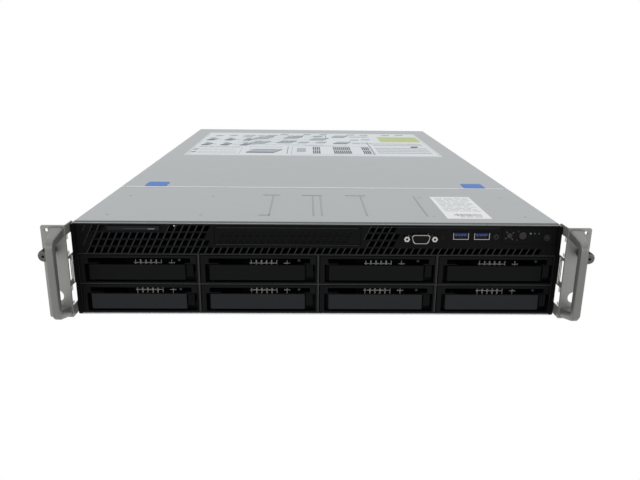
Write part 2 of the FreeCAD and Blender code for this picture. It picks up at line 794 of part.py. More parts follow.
def rear_connectors():
    """The connectors that stand along the rear edge of the main board."""
    z = (BOARD_Z[1], BOARD_Z[1] + REAR_PORT_H)
    usb = block(REAR_USB_X, CONNECTOR_Y, z)
    slots = [block(inset(REAR_USB_X, 3.0), (700.0, 720.0), (low, low + 4.6)) for low in (11.2, 17.0)]
    video = block(REAR_VIDEO_X, CONNECTOR_Y, z)
    save("rear_connectors", *([rear_jack(x) for x in LAN_X] + [cut(usb, slots), video]))


def motherboard():
    edge = CHASSIS_WIDTH / 2 - 6
    board = along_z(
        [(-edge, 285), (edge, 285), (edge, 516), (PSU_WALL_X - 4, 516), (PSU_WALL_X - 4, 706), (-edge, 706)],
        BOARD_Z,
    )
    pieces = [board]
    foot = BOARD_Z[1] - 0.2
    for x in (-CPU_X, CPU_X):
        pieces.append(block((x - 35, x + 35), (CPU_Y - 35, CPU_Y + 35), (foot, 13.0)))
    for low, high, _ in socket_rows():
        pieces.append(block((low, high), (CPU_Y - 70, CPU_Y + 70), (foot, SOCKET_TOP)))
    for x, y in ((90.0, 500.0), (150.0, 500.0), (-150.0, 540.0)):
        pieces.append(block((x - 20, x + 20), (y - 6, y + 6), (foot, 20.0)))
    pieces.append(block((-30.0, 4.0), (560.0, 594.0), (foot, 22.0)))
    save("motherboard", union(pieces))


def heatsink(x):
    """A finned block: the fins run front to back, with the airflow."""
    fins = 13
    pitch = 7.0
    fin = 1.2
    left = x - (fins - 1) * pitch / 2 - fin / 2
    base_z = 18.0
    top = 74.0
    outline = [(left, 13.0), (left + (fins - 1) * pitch + fin, 13.0)]
    for k in reversed(range(fins)):
        right = left + k * pitch + fin
        outline += [(right, top), (right - fin, top)]
        if k:
            outline += [(right - fin, base_z), (right - pitch, base_z)]
    return along_y(outline, (CPU_Y - 45, CPU_Y + 45))


def memory_module(x):
    return block((x - 0.7, x + 0.7), (CPU_Y - 66, CPU_Y + 66), (SOCKET_TOP, 42.0))


def socket_rows():
    """(low, high) X of each bank of six memory sockets, and the X of each module."""
    for cpu in (-CPU_X, CPU_X):
        for side in (-1, 1):
            modules = [cpu + side * (50.0 + DIMM_PITCH * k) for k in range(6)]
            yield min(modules) - 3.6, max(modules) + 3.6, modules


def processors_and_memory():
    save("heatsinks", heatsink(-CPU_X), heatsink(CPU_X))
    modules = []
    for _, _, places in socket_rows():
        modules += [memory_module(x) for x in places]
    save("memory_modules", *modules)


def air_duct():
    """A plastic hood from the fans to the processors, with skirts that stand on the board."""
    y = (FAN_Y[1] + 4, CPU_Y + 76)
    outer = 208.0
    wall = 1.8
    foot = BOARD_Z[1]
    top = DUCT_TOP - wall
    outline = [
        (-outer, foot),
        (-outer + wall, foot),
        (-outer + wall, top),
        (outer - wall, top),
        (outer - wall, foot),
        (outer, foot),
        (outer, DUCT_TOP),
        (-outer, DUCT_TOP),
    ]
    hood = along_y(outline, (286.0, y[1]))
    snout = block((-outer, outer), (y[0], 288.0), (top, DUCT_TOP))
    windows = []
    for x in (-CPU_X, CPU_X):
        windows.append(block((x - 40, x + 40), (CPU_Y - 40, CPU_Y + 50), (60.0, 90.0)))
    ribs = []
    for x in (-186.0, -154.0, -50.0, 0.0, 50.0, 154.0, 186.0):
        ribs.append(block((x - 1, x + 1), (292.0, y[1] - 4), (DUCT_TOP - 0.2, DUCT_TOP + 3.0)))
    save("air_duct", union([cut(hood, windows), snout] + ribs))


def supply(x):
    """A slim supply with an inlet, a finger guard over its fan and a loop handle."""
    width, length, height = PSU_SIZE
    rear = CHASSIS_DEPTH - 0.4
    left = x - width / 2
    z0 = SHEET
    case = block((left, left + width), (rear - length, rear), (z0, z0 + height))
    inlet = block((left + 8, left + 35), (rear - 16, rear + 1), (z0 + 15, z0 + 34))
    latch_groove = block((left - 1, left + 3.8), (rear - 24, rear + 1), (z0 + 12, z0 + 29))
    duct = faceted(x + 16, z0 + 19.5, 16.0, 16, (rear - 8, rear + 1))
    case = cut(case, [inlet, latch_groove, duct])
    pieces = [case, faceted(x + 16, z0 + 19.5, 6.5, 8, (rear - 9, rear - 1))]
    for k in range(3):
        spoke = block((x + 16, x + 33.5), (rear - 2.4, rear - 1.0), (z0 + 18.6, z0 + 20.4))
        spoke.rotate(V(x + 16, 0, z0 + 19.5), V(0, 1, 0), 120 * k + 30)
        pieces.append(spoke)
    for u, z in ((-7.0, 3.0), (0.0, -3.0), (7.0, 3.0)):
        pin_x = (left + 20.5 + u, left + 22.5 + u)
        pin = block(pin_x, (rear - 17, rear - 6), (z0 + 22.5 + z, z0 + 26.5 + z))
        pieces.append(pin)
    reach = rear + PSU_HANDLE_REACH + 0.4
    grip = along_z(
        [
            (left + 38, rear - 0.4),
            (left + 42, rear - 0.4),
            (left + 42, reach - 7),
            (left + 45, reach - 4),
            (left + 64, reach - 4),
            (left + 67, reach - 7),
            (left + 67, rear - 0.4),
            (left + 71, rear - 0.4),
            (left + 71, reach - 5),
            (left + 66, reach),
            (left + 43, reach),
            (left + 38, reach - 5),
        ],
        (z0 + 17, z0 + 22),
    )
    pieces.append(grip)
    return union(pieces)


def supply_latch(x):
    left = x - PSU_SIZE[0] / 2
    rear = CHASSIS_DEPTH - 0.4
    z0 = SHEET
    outline = [
        (left + 0.5, rear - 23.4),
        (left + 2.1, rear - 23.4),
        (left + 2.1, rear + 8),
        (left + 5.5, rear + 12),
        (left + 5.5, rear + 15),
        (left + 3.5, rear + 15),
        (left + 0.5, rear + 9.5),
    ]
    return along_z(outline, (z0 + 13, z0 + 28))


def supplies():
    for number, x in enumerate(PSU_X, 1):
        save("power_supply_%d" % number, supply(x))
        save("psu_latch_%d" % number, supply_latch(x))


def riser_cage(span, floor):
    """A folded bracket over two card slots, with its slot covers and upright riser board."""
    top = 84.4
    y = (565.0, REAR_WALL_Y)
    section = [
        (span[0], RISER_SHEET_Z),
        (span[0] + 1, RISER_SHEET_Z),
        (span[0] + 1, top - 1),
        (span[1], top - 1),
        (span[1], top),
        (span[0], top),
    ]
    pieces = [along_y(section, y)]
    panel = block(span, (REAR_WALL_Y - 1.0, REAR_WALL_Y), (45.6, top))
    pieces.append(panel)
    cover_y = (REAR_WALL_Y - 0.2, REAR_WALL_Y + 0.8)
    for slot in SLOT_FLOORS:
        pieces.append(block(inset(span, 5.5), cover_y, inset((slot, slot + SLOT_HEIGHT), 1.2)))
        pieces.append(block((span[0] + 2.4, span[0] + 10), (600.0, 680.0), (slot + 5, slot + 12)))
    pieces.append(block((span[0] + 0.8, span[0] + 2.6), (590.0, 690.0), (floor, top - 4)))
    holes = []
    for slot in SLOT_FLOORS:
        for k in range(2):
            x = span[0] + 16 + 46.0 * k
            holes.append(block((x, x + 38), (REAR_WALL_Y - 2, REAR_WALL_Y + 2), (slot + 5.5, slot + 11.5)))
    return cut(union(pieces), holes)


def risers():
    cages = []
    for span in RISER_SPANS:
        floor = BOARD_Z[1] if span[1] < PSU_WALL_X else 42.4 + SHEET
        cages.append(riser_cage(span, floor))
    save("riser_cages", *cages)


def main():
    os.makedirs("parts", exist_ok=True)
    chassis_tray()
    front_cover()
    rear_cover()
    rack_hardware()
    front_grille()
    optical_filler()
    front_ports()
    operator_panel()
    info_tab()
    drive_cage()
    drive_bays()
    backplane()
    fans()
    motherboard()
    rear_connectors()
    processors_and_memory()
    air_duct()
    supplies()
    risers()


main()
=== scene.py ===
"""A 2U rack server: finishes, labels, connectors, trim and a plain studio.

Shapes are drawn in millimetres, +X to the right, +Y to the rear and +Z up, with y = 0 at the
face of the bezel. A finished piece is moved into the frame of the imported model, in metres.
"""

import json
import math
import random

import bmesh
import bpy
from mathutils import Matrix, Vector


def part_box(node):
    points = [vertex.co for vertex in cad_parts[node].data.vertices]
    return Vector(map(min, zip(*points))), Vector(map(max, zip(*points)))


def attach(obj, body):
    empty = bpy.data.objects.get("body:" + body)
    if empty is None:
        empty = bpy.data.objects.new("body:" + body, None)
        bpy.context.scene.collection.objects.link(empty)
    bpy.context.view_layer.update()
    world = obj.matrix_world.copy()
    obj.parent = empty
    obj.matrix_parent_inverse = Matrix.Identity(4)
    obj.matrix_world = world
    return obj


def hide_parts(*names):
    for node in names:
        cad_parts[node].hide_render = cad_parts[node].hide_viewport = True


bl_info = {
    "name": "Rack server",
    "version": (1, 0, 0),
    "blender": (4, 5, 0),
    "location": "3D View > Sidebar > Server",
    "description": "Dresses a 2U rack server with finishes, labels, connectors and trim",
    "category": "Object",
}

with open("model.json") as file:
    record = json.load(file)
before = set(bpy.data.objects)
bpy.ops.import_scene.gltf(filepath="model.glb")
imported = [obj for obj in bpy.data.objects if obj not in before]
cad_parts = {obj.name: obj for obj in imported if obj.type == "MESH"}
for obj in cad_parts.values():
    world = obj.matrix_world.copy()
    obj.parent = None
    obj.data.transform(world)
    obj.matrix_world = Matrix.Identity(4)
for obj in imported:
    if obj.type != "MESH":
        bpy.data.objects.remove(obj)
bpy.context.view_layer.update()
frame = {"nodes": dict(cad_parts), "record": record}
MM = 0.001
# The front edge of the tray lies in the plane of the bezel's face.
FACE_SHIFT = Vector((0.0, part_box("chassis_tray")[0].y / MM, 0.0))


def corners(node):
    """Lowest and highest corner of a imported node, where the shapes are drawn."""
    low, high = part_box(node)
    return low / MM - FACE_SHIFT, high / MM - FACE_SHIFT


def in_mm(length):
    return length / MM


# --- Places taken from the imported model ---
COVER = corners("front_cover")
PANEL = corners("control_panel")
FILLER = corners("optical_filler")
TAB = corners("info_tab")
TOP_Z = COVER[1].z
SEAM_Y = corners("rear_cover")[0].y
BAYS = range(1, 9)


# --- Colours ---
def linear(hex_colour):
    """An sRGB hex colour as linear red, green, blue and alpha."""
    channels = []
    for k in (1, 3, 5):
        value = int(hex_colour[k : k + 2], 16) / 255
        channels.append(value / 12.92 if value <= 0.04045 else ((value + 0.055) / 1.055) ** 2.4)
    return (*channels, 1.0)


def colour_property(label, hex_colour, words):
    limits = {"size": 4, "min": 0.0, "max": 1.0, "default": linear(hex_colour)}
    return bpy.props.FloatVectorProperty(name=label, description=words, subtype="COLOR", **limits)


def length_property(label, millimetres, words):
    numbers = {"precision": 5, "min": 0.0, "default": millimetres * MM}
    return bpy.props.FloatProperty(name=label, description=words, unit="LENGTH", **numbers)


class ServerColours(bpy.types.PropertyGroup):
    """Colours of the finishes."""

    sheet: colour_property("Plated sheet", "#A3A7A9", "Zinc-plated covers and tray")
    ear: colour_property("Ear plating", "#8E8E8B", "Plated flanges and side plates")
    handle: colour_property("Handle paint", "#747472", "Satin grey paint of the handles")
    coat: colour_property("Powder coat", "#17181A", "Black coating of the drive cage")
    bezel: colour_property("Bezel plastic", "#050506", "Moulded grille, filler and panel")
    carrier: colour_property("Carrier plastic", "#0B0B0C", "Moulded fronts of the carriers")
    lever: colour_property("Lever plastic", "#08090A", "Swing-out levers and latches")
    pad: colour_property("Touch pad", "#4A7CC4", "Blue film pads of the sliding cover")
    label: colour_property("Label film", "#E0E6EA", "Ground of the printed labels")
    ink: colour_property("Label ink", "#7E868C", "Grey drawings on the labels")
    note: colour_property("Label note", "#C4CC76", "Yellow-green field of the label")
    port_blue: colour_property("Port blue", "#102C6C", "Tongues of the front data ports")


class ServerSizes(bpy.types.PropertyGroup):
    """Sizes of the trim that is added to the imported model."""

    edge: length_property("Plastic edge", 0.35, "Rounding of the moulded edges")
    sheet_edge: length_property("Sheet edge", 0.2, "Rounding of the cut sheet edges")
    handle_round: length_property("Handle rounding", 1.5, "Corner radius of the handle bar")
    label_film: length_property("Label film", 0.12, "Thickness of a label")
    print_step: length_property("Print", 0.05, "Height of a printed mark above its label")
    knurl: bpy.props.IntProperty(
        name="Knurl ridges",
        description="Ridges round the head of each thumbscrew",
        default=40,
        min=12,
        max=96,
    )
    label_seed: bpy.props.IntProperty(
        name="Label seed",
        description="Seed of the generic marks on the labels",
        default=7,
        min=0,
    )


# --- Materials ---
def add(tree, kind, sockets=(), **settings):
    """Adds a node, sets its options, and gives its sockets values or links."""
    node = tree.nodes.new("ShaderNode" + kind)
    for name, value in settings.items():
        setattr(node, name, value)
    for name, value in dict(sockets).items():
        if isinstance(value, bpy.types.NodeSocket):
            tree.links.new(value, node.inputs[name])
        else:
            node.inputs[name].default_value = value
    return node


def new_material(name):
    """The empty node tree of a new material."""
    material = bpy.data.materials.new(name)
    material.use_nodes = True
    material.node_tree.nodes.clear()
    return material.node_tree


def per_mm(millimetres):
    """Texture scale that makes one pattern cell this many millimetres wide."""
    return 1.0 / (millimetres * MM)


def shade(colour, factor):
    return (*[min(channel * factor, 1.0) for channel in colour[:3]], 1.0)


def surface(
    name, colour, metallic, roughness, specular, grain, relief, blotch, spread, rough_spread,
    stretch=(1.0, 1.0, 1.0),
):
    """A finish with a fine grain, slow colour drift and a roughness that wanders with it.

    grain and blotch are cell sizes and relief is the depth of the grain, all in mm.
    stretch squeezes the grain along an axis, as brushing or rolling does.
    """
    tree = new_material(name)
    place = add(tree, "TexCoord").outputs["Object"]
    drift = add(tree, "TexNoise", {"Vector": place, "Scale": per_mm(blotch), "Detail": 4.0})
    drawn = add(tree, "Mapping", {"Vector": place, "Scale": stretch}).outputs["Vector"]
    fine = add(tree, "TexNoise", {"Vector": drawn, "Scale": per_mm(grain), "Detail": 2.0})
    pale = {"Color1": shade(colour, 1.0 - spread), "Color2": shade(colour, 1.0 + spread)}
    tone = add(tree, "MixRGB", {"Fac": drift.outputs["Fac"], **pale})
    wander = add(tree, "Math", {0: drift.outputs["Fac"], 1: fine.outputs["Fac"]}, operation="ADD")
    limits = {"To Min": max(roughness - rough_spread, 0.02), "To Max": min(roughness + rough_spread, 1.0)}
    rough = add(tree, "MapRange", {"Value": wander.outputs[0], "From Min": 0.6, "From Max": 1.4, **limits})
    bump = add(tree, "Bump", {"Height": fine.outputs["Fac"], "Distance": relief * MM, "Strength": 1.0})
    finish_shader(
        tree,
        {
            "Base Color": tone.outputs["Color"],
            "Metallic": metallic,
            "Roughness": rough.outputs["Result"],
            "Specular IOR Level": specular,
            "Normal": bump.outputs["Normal"],
        },
    )


def finish_shader(tree, sockets):
    shader = add(tree, "BsdfPrincipled", sockets)
    add(tree, "OutputMaterial", {"Surface": shader.outputs["BSDF"]})


def lamp_lens(name, hex_colour, strength):
    """A small moulded light window; strength 0 is an unlit one."""
    tree = new_material(name)
    glow = linear(hex_colour)
    place = add(tree, "TexCoord").outputs["Object"]
    cloud = add(tree, "TexNoise", {"Vector": place, "Scale": per_mm(1.0)}).outputs["Fac"]
    tone = add(tree, "MixRGB", {"Fac": cloud, "Color1": shade(glow, 0.85), "Color2": glow}).outputs["Color"]
    light = {"Emission Color": glow, "Emission Strength": strength}
    finish_shader(tree, {"Base Color": tone, "Roughness": 0.25, **light})


def sight_rays(tree):
    """1 where the camera looks, straight or through a mirror or glass, and 0 where light is gathered."""
    path = add(tree, "LightPath").outputs
    seen = add(tree, "Math", {0: path["Is Camera Ray"], 1: path["Is Glossy Ray"]}, operation="MAXIMUM")
    sight = {0: seen.outputs[0], 1: path["Is Transmission Ray"]}
    return add(tree, "Math", sight, operation="MAXIMUM").outputs[0]


def white_ground(name):
    """A pale surface that reads white behind the object and still takes its shadow."""
    tree = new_material(name)
    place = add(tree, "TexCoord").outputs["Object"]
    grit = add(tree, "TexNoise", {"Vector": place, "Scale": per_mm(1.5)})
    bump = add(tree, "Bump", {"Height": grit.outputs["Fac"], "Distance": 0.02 * MM})
    paint_sockets = {
        "Base Color": linear("#F1F2F2"),
        "Roughness": 0.9,
        "Specular IOR Level": 0.1,
        "Normal": bump.outputs["Normal"],
    }
    matt = add(tree, "BsdfPrincipled", paint_sockets).outputs["BSDF"]
    white = add(tree, "Emission", {"Color": (1.0, 1.0, 1.0, 1.0), "Strength": 1.0}).outputs["Emission"]
    both = add(tree, "MixShader", {"Fac": sight_rays(tree), 1: matt, 2: white})
    add(tree, "OutputMaterial", {"Surface": both.outputs["Shader"]})


def make_materials(colours):
    """Every finish, named for what the real surface is or for the light or shade that is painted into it.

    The numbers are metallic, roughness, specular, grain, relief, blotch, colour and roughness spread.
    """
    # Zinc-plated steel, rolled: pale, slightly cool, a soft sheen and a very slow mottle.
    surface("zinc_plated_sheet", colours.sheet, 0.55, 0.42, 0.5, 0.7, 0.004, 45.0, 0.055, 0.06)
    # The same sheet, a little darker, for the pressed beads and dimples: painted shade along their flanks.
    surface("bead_painted_shade_zinc", shade(colours.sheet, 0.8), 0.55, 0.46, 0.5, 0.7, 0.004, 12.0, 0.05, 0.05)
    # Its bend along the front edge: the sheet darkened as a painted shade, where it turns down away from
    # the light.
    surface("bend_painted_shade_zinc", shade(colours.sheet, 0.12), 0.3, 0.5, 0.4, 0.7, 0.004, 12.0, 0.08, 0.05)
    surface("plated_ear_sheet", colours.ear, 0.45, 0.38, 0.5, 0.5, 0.004, 30.0, 0.05, 0.06)
    # Satin enamel on a die casting: even grey, fine orange peel.
    surface("satin_grey_enamel", colours.handle, 0.3, 0.32, 0.5, 1.4, 0.01, 18.0, 0.06, 0.05)
    # Powder coat: black with a pebbled skin.
    surface("black_powder_coat", colours.coat, 0.0, 0.55, 0.22, 0.8, 0.02, 20.0, 0.1, 0.06)
    # Spark-eroded mould texture on black ABS: matt, with a little life in the gloss.
    surface("moulded_black_abs", colours.bezel, 0.0, 0.5, 0.08, 0.35, 0.012, 18.0, 0.1, 0.06)
    surface("carrier_black_abs", colours.carrier, 0.0, 0.48, 0.08, 0.35, 0.012, 18.0, 0.1, 0.06)
    surface("lever_satin_abs", colours.lever, 0.0, 0.42, 0.08, 0.4, 0.01, 22.0, 0.08, 0.06)
    # The lower row's levers: a paler copy of the lever plastic, painted light for the bounce from the floor
    # that lights that row.
    surface("lever_painted_light_abs", shade(colours.lever, 4.3), 0.0, 0.42, 0.16, 0.4, 0.01, 22.0, 0.08, 0.06)
    surface("button_abs", linear("#2A2725"), 0.0, 0.4, 0.2, 0.4, 0.008, 6.0, 0.05, 0.04)
    surface("tab_abs", linear("#121316"), 0.0, 0.45, 0.15, 0.4, 0.01, 12.0, 0.06, 0.05)
    # Painted highlights on moulded and coated edges: smoother and a little paler than the field, for the
    # light that the edges catch.
    surface("edge_painted_highlight_abs", linear("#2C2D30"), 0.0, 0.34, 0.3, 0.4, 0.006, 9.0, 0.12, 0.08)
    surface("edge_painted_highlight_coat", linear("#3A3B3D"), 0.0, 0.4, 0.3, 0.6, 0.01, 9.0, 0.12, 0.08)
    surface("fan_glass_filled_pbt", linear("#141516"), 0.0, 0.6, 0.25, 0.5, 0.02, 15.0, 0.1, 0.08)
    surface("rotor_glass_filled_pbt", linear("#1D1E20"), 0.0, 0.5, 0.3, 0.5, 0.01, 15.0, 0.1, 0.06)
    surface("latch_green_pom", linear("#2F8F5B"), 0.0, 0.38, 0.4, 0.5, 0.006, 10.0, 0.05, 0.05)
    surface("touch_pad_film", colours.pad, 0.0, 0.55, 0.3, 0.6, 0.02, 8.0, 0.06, 0.06)
    # Nickel plate over stamped steel: bright, close to neutral.
    surface("nickel_plate", linear("#A8A6A1"), 1.0, 0.28, 0.5, 0.5, 0.003, 6.0, 0.05, 0.06)
    surface("bare_sheet_edge", linear("#D9DCDD"), 0.3, 0.4, 0.5, 0.5, 0.003, 40.0, 0.03, 0.05)
    surface("nickel_screw", linear("#B5B4B0"), 1.0, 0.3, 0.5, 0.4, 0.004, 5.0, 0.06, 0.08)
    # Nickel on turned steel that has been handled: greyer, with dull patches.
    surface("tarnished_nickel", linear("#5B5A57"), 0.9, 0.4, 0.5, 0.4, 0.008, 3.0, 0.14, 0.1)
    # Spring steel of the shielding combs, strips and catches: bright in itself, and made near white and
    # barely metallic as a painted highlight for the glint it catches.
    surface("spring_steel_and_painted_glint", linear("#F4F3EC"), 0.1, 0.3, 0.5, 0.5, 0.002, 5.0, 0.03, 0.05)
    surface("solder_mask", linear("#1C6B3A"), 0.0, 0.32, 0.5, 1.2, 0.01, 12.0, 0.12, 0.05)
    drawn_out = (1.0, 0.05, 1.0)
    aluminium = linear("#C3C6C9")
    surface("extruded_aluminium", aluminium, 0.9, 0.34, 0.5, 0.5, 0.004, 20.0, 0.04, 0.06, drawn_out)
    surface("supply_plated_steel", linear("#B7BABB"), 0.75, 0.36, 0.5, 0.6, 0.004, 25.0, 0.04, 0.05)
    surface("riser_plated_steel", colours.sheet, 0.65, 0.4, 0.5, 0.7, 0.004, 35.0, 0.05, 0.05)
    # Printed polyester film.
    surface("label_film", colours.label, 0.0, 0.45, 0.4, 1.0, 0.004, 60.0, 0.02, 0.04)
    surface("label_white_film", linear("#F2F3F3"), 0.0, 0.5, 0.35, 1.0, 0.004, 40.0, 0.015, 0.04)
    surface("label_grey_ink", colours.ink, 0.0, 0.5, 0.3, 0.5, 0.002, 15.0, 0.08, 0.04)
    surface("label_dark_ink", linear("#434A54"), 0.0, 0.5, 0.3, 0.5, 0.002, 15.0, 0.08, 0.04)
    surface("label_pale_ink", linear("#AAB5BD"), 0.0, 0.5, 0.3, 0.5, 0.002, 15.0, 0.05, 0.04)
    surface("label_green_field", colours.note, 0.0, 0.5, 0.3, 0.5, 0.002, 25.0, 0.05, 0.04)
    surface("panel_dim_ink", linear("#3E4042"), 0.0, 0.5, 0.3, 0.4, 0.002, 5.0, 0.08, 0.04)
    surface("white_legend_ink", linear("#75787B"), 0.0, 0.5, 0.3, 0.4, 0.002, 5.0, 0.05, 0.04)
    # Insulating bodies and contacts of the connectors; the deep blue is the port blue darkened, painted
    # shade for the back of a socket.
    surface("port_blue_painted_shade", shade(colours.port_blue, 0.25), 0.0, 0.4, 0.3, 0.5, 0.006, 5.0, 0.06, 0.05)
    surface("port_blue_insert", colours.port_blue, 0.0, 0.4, 0.4, 0.5, 0.006, 5.0, 0.06, 0.05)
    surface("socket_black_nylon", linear("#060607"), 0.0, 0.5, 0.1, 0.5, 0.01, 8.0, 0.1, 0.06)
    surface("contact_gold", linear("#D9B45A"), 1.0, 0.25, 0.5, 0.4, 0.002, 4.0, 0.06, 0.05)
    surface("chip_epoxy", linear("#1B1C1E"), 0.0, 0.6, 0.3, 0.4, 0.01, 6.0, 0.1, 0.06)
    # A flat near-black for pin holes, screw recesses, rivet hollows and the grille's hole lips: painted
    # shade where the hollows lie in shadow.
    surface("hollow_painted_shade", linear("#060607"), 0.0, 0.8, 0.1, 0.8, 0.02, 12.0, 0.1, 0.05)
    lamp_lens("clear_lens", "#7E8684", 0.0)
    lamp_lens("smoked_lens", "#2C302F", 0.0)
    lamp_lens("green_lens", "#58C878", 0.2)


# --- Mesh tools ---
def faces_of(verts):
    return list({face for vert in verts for face in vert.link_faces})


def edges_of(verts):
    return list({edge for vert in verts for edge in vert.link_edges})


def paint(verts, finish):
    for face in faces_of(verts):
        face.material_index = finish


def soften(bm, geometry, width, segments=2, affect="EDGES"):
    """Rounds edges, or the corners of a flat outline when affect is VERTICES."""
    bmesh.ops.bevel(
        bm,
        geom=geometry,
        offset=width,
        offset_type="OFFSET",
        segments=segments,
        profile=0.5,
        affect=affect,
        clamp_overlap=True,
        material=-1,
    )


def brick(bm, low, high, round_by=0.0, finish=0, segments=1):
    """A rounded box between two corners."""
    low, high = Vector(low), Vector(high)
    verts = bmesh.ops.create_cube(bm, size=1.0)["verts"]
    bmesh.ops.scale(bm, vec=high - low, verts=verts)
    bmesh.ops.translate(bm, vec=(low + high) / 2, verts=verts)
    paint(verts, finish)
    if round_by:
        soften(bm, edges_of(verts), round_by, segments)


AXES = {
    "X": Matrix.Rotation(math.radians(90), 4, "Y"),
    "Y": Matrix.Rotation(math.radians(-90), 4, "X"),
    "Z": Matrix.Identity(4),
}


def rod(bm, start, axis, length, radius, sides=24, end_radius=None, round_by=0.0, finish=0):
    """A round bar or cone from a start point along +X, +Y or +Z."""
    place = Matrix.Translation(Vector(start)) @ AXES[axis] @ Matrix.Translation((0, 0, length / 2))
    verts = bmesh.ops.create_cone(
        bm,
        cap_ends=True,
        segments=sides,
        radius1=radius,
        radius2=radius if end_radius is None else end_radius,
        depth=length,
        matrix=place,
    )["verts"]
    paint(verts, finish)
    if round_by:
        rims = [edge for edge in edges_of(verts) if any(len(face.verts) > 4 for face in edge.link_faces)]
        soften(bm, rims, round_by, 2)


def tube(bm, start, axis, length, radius, bore, sides=32, finish=0):
    """An open ring: a circle spun out of one square of its wall."""
    outline = [(bore, 0.0), (radius, 0.0), (radius, length), (bore, length)]
    verts = [bm.verts.new((across, 0.0, along)) for across, along in outline]
    wall = bm.faces.new(verts)
    made = bmesh.ops.spin(
        bm,
        geom=[wall, *wall.edges, *verts],
        cent=(0, 0, 0),
        axis=(0, 0, 1),
        angle=math.tau,
        steps=sides,
        use_merge=True,
        use_duplicate=False,
    )
    bm.verts.index_update()
    whole = linked({*verts, *[item for item in made["geom_last"] if isinstance(item, bmesh.types.BMVert)]})
    inner = [face for face in faces_of(whole) if face_is_radial(face)]
    bmesh.ops.delete(bm, geom=inner, context="FACES_ONLY")
    whole = [vert for vert in whole if vert.is_valid]
    bmesh.ops.transform(bm, matrix=Matrix.Translation(Vector(start)) @ AXES[axis], verts=whole)
    paint(whole, finish)
    bmesh.ops.recalc_face_normals(bm, faces=faces_of(whole))


def face_is_radial(face):
    """True for the square that the spin started from, which lies in a plane through the axis."""
    normal = face.normal
    middle = face.calc_center_median()
    across = Vector((middle.x, middle.y, 0.0))
    return across.length > 1e-6 and abs(normal.dot(across.normalized())) < 0.01 and abs(normal.z) < 0.01


def linked(seeds):
    """Every vertex joined to the seeds."""
    found = set(seeds)
    edge_front = list(seeds)
    while edge_front:
        vert = edge_front.pop()
        for edge in vert.link_edges:
            other = edge.other_vert(vert)
            if other not in found:
                found.add(other)
                edge_front.append(other)
    return list(found)


def sheet_of(bm, outline, place, depth, finish=0, round_by=0.0):
    """A flat outline drawn out by a depth; place turns its (u, v) points into space."""
    verts = [bm.verts.new(place @ Vector((u, v, 0.0))) for u, v in outline]
    face = bm.faces.new(verts)
    face.normal_update()
    out = place.to_3x3() @ Vector((0, 0, depth))
    grown = bmesh.ops.extrude_face_region(bm, geom=[face])["geom"]
    far = [item for item in grown if isinstance(item, bmesh.types.BMVert)]
    bmesh.ops.translate(bm, vec=out, verts=far)
    bmesh.ops.recalc_face_normals(bm, faces=faces_of(verts + far))
    paint(verts + far, finish)
    if round_by:
        soften(bm, edges_of(verts + far), round_by)


def grow_cap(bm, cap, keep_old):
    """Extrudes the end face of a bar and returns the new one; keep_old closes the bar's start."""
    grown = bmesh.ops.extrude_face_region(bm, geom=[cap])["geom"]
    new_cap = next(item for item in grown if isinstance(item, bmesh.types.BMFace))
    if not keep_old:
        bmesh.ops.delete(bm, geom=[cap], context="FACES_ONLY")
    return new_cap


FRONTAL = Matrix.Rotation(math.radians(90), 4, "X")


def on_front(x, y, z):
    """Placement of an outline on a front face: u runs right, v up, depth towards the viewer."""
    return Matrix.Translation((x, y, z)) @ FRONTAL


def place_object(name, data):
    holder = bpy.data.objects.new(name, data)
    bpy.context.scene.collection.objects.link(holder)
    return holder


def mesh_object(name, bm, finishes):
    """Turns a finished drawing into an object with its materials."""
    mesh = bpy.data.meshes.new(name)
    bm.to_mesh(mesh)
    bm.free()
    for finish in finishes:
        mesh.materials.append(bpy.data.materials[finish])
    return place_object(name, mesh)


def publish(name, bm, finishes, body="chassis", replaces=(), smooth=False):
    """Turns a drawing in millimetres into a finished piece that rides on a body."""
    bmesh.ops.translate(bm, vec=FACE_SHIFT, verts=bm.verts)
    bmesh.ops.scale(bm, vec=(MM, MM, MM), verts=bm.verts)
    piece = mesh_object(name, bm, finishes)
    if smooth:
        piece.data.shade_smooth()
        piece.data.set_sharp_from_angle(angle=math.radians(35))
    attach(piece, body)
    if replaces:
        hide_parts(*replaces)


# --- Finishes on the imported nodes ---
NODE_FINISHES = {
    "plated_steel": "zinc_plated_sheet",
    "black_steel": "black_powder_coat",
    "ear_steel": "plated_ear_sheet",
    "handle_grey": "satin_grey_enamel",
    "black_plastic": "moulded_black_abs",
    "carrier_plastic": "carrier_black_abs",
    "lever_plastic": "lever_satin_abs",
    "button_plastic": "button_abs",
    "tab_plastic": "tab_abs",
    "fan_plastic": "fan_glass_filled_pbt",
    "rotor_plastic": "rotor_glass_filled_pbt",
    "latch_plastic": "latch_green_pom",
    "blue_pad": "touch_pad_film",
    "port_metal": "nickel_plate",
    "screw_metal": "nickel_screw",
    "circuit_board": "solder_mask",
    "heatsink_aluminium": "extruded_aluminium",
    "riser_steel": "riser_plated_steel",
    "supply_steel": "supply_plated_steel",
}

# The lower row's levers take the paler copy of the lever plastic: painted light.
PAINTED_LIGHT_LEVERS = {"carrier_lever_%d" % number: "lever_painted_light_abs" for number in (5, 6, 7, 8)}

ROUNDED_SLOTS = ("black_plastic", "carrier_plastic", "lever_plastic", "button_plastic", "tab_plastic")
SHEET_SLOTS = ("plated_steel", "black_steel", "ear_steel", "supply_steel", "riser_steel")


def round_edges(node, width):
    """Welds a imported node's facets, clears its flat faces and rounds its edges."""
    weld = node.modifiers.new("weld", "WELD")
    weld.merge_threshold = 0.005 * MM
    clear = node.modifiers.new("clear_flats", "DECIMATE")
    clear.decimate_type = "DISSOLVE"
    clear.angle_limit = math.radians(2)
    edge = node.modifiers.new("round_edges", "BEVEL")
    edge.width = width
    edge.segments = 2
    edge.limit_method = "ANGLE"
    edge.angle_limit = math.radians(50)
    edge.use_clamp_overlap = True


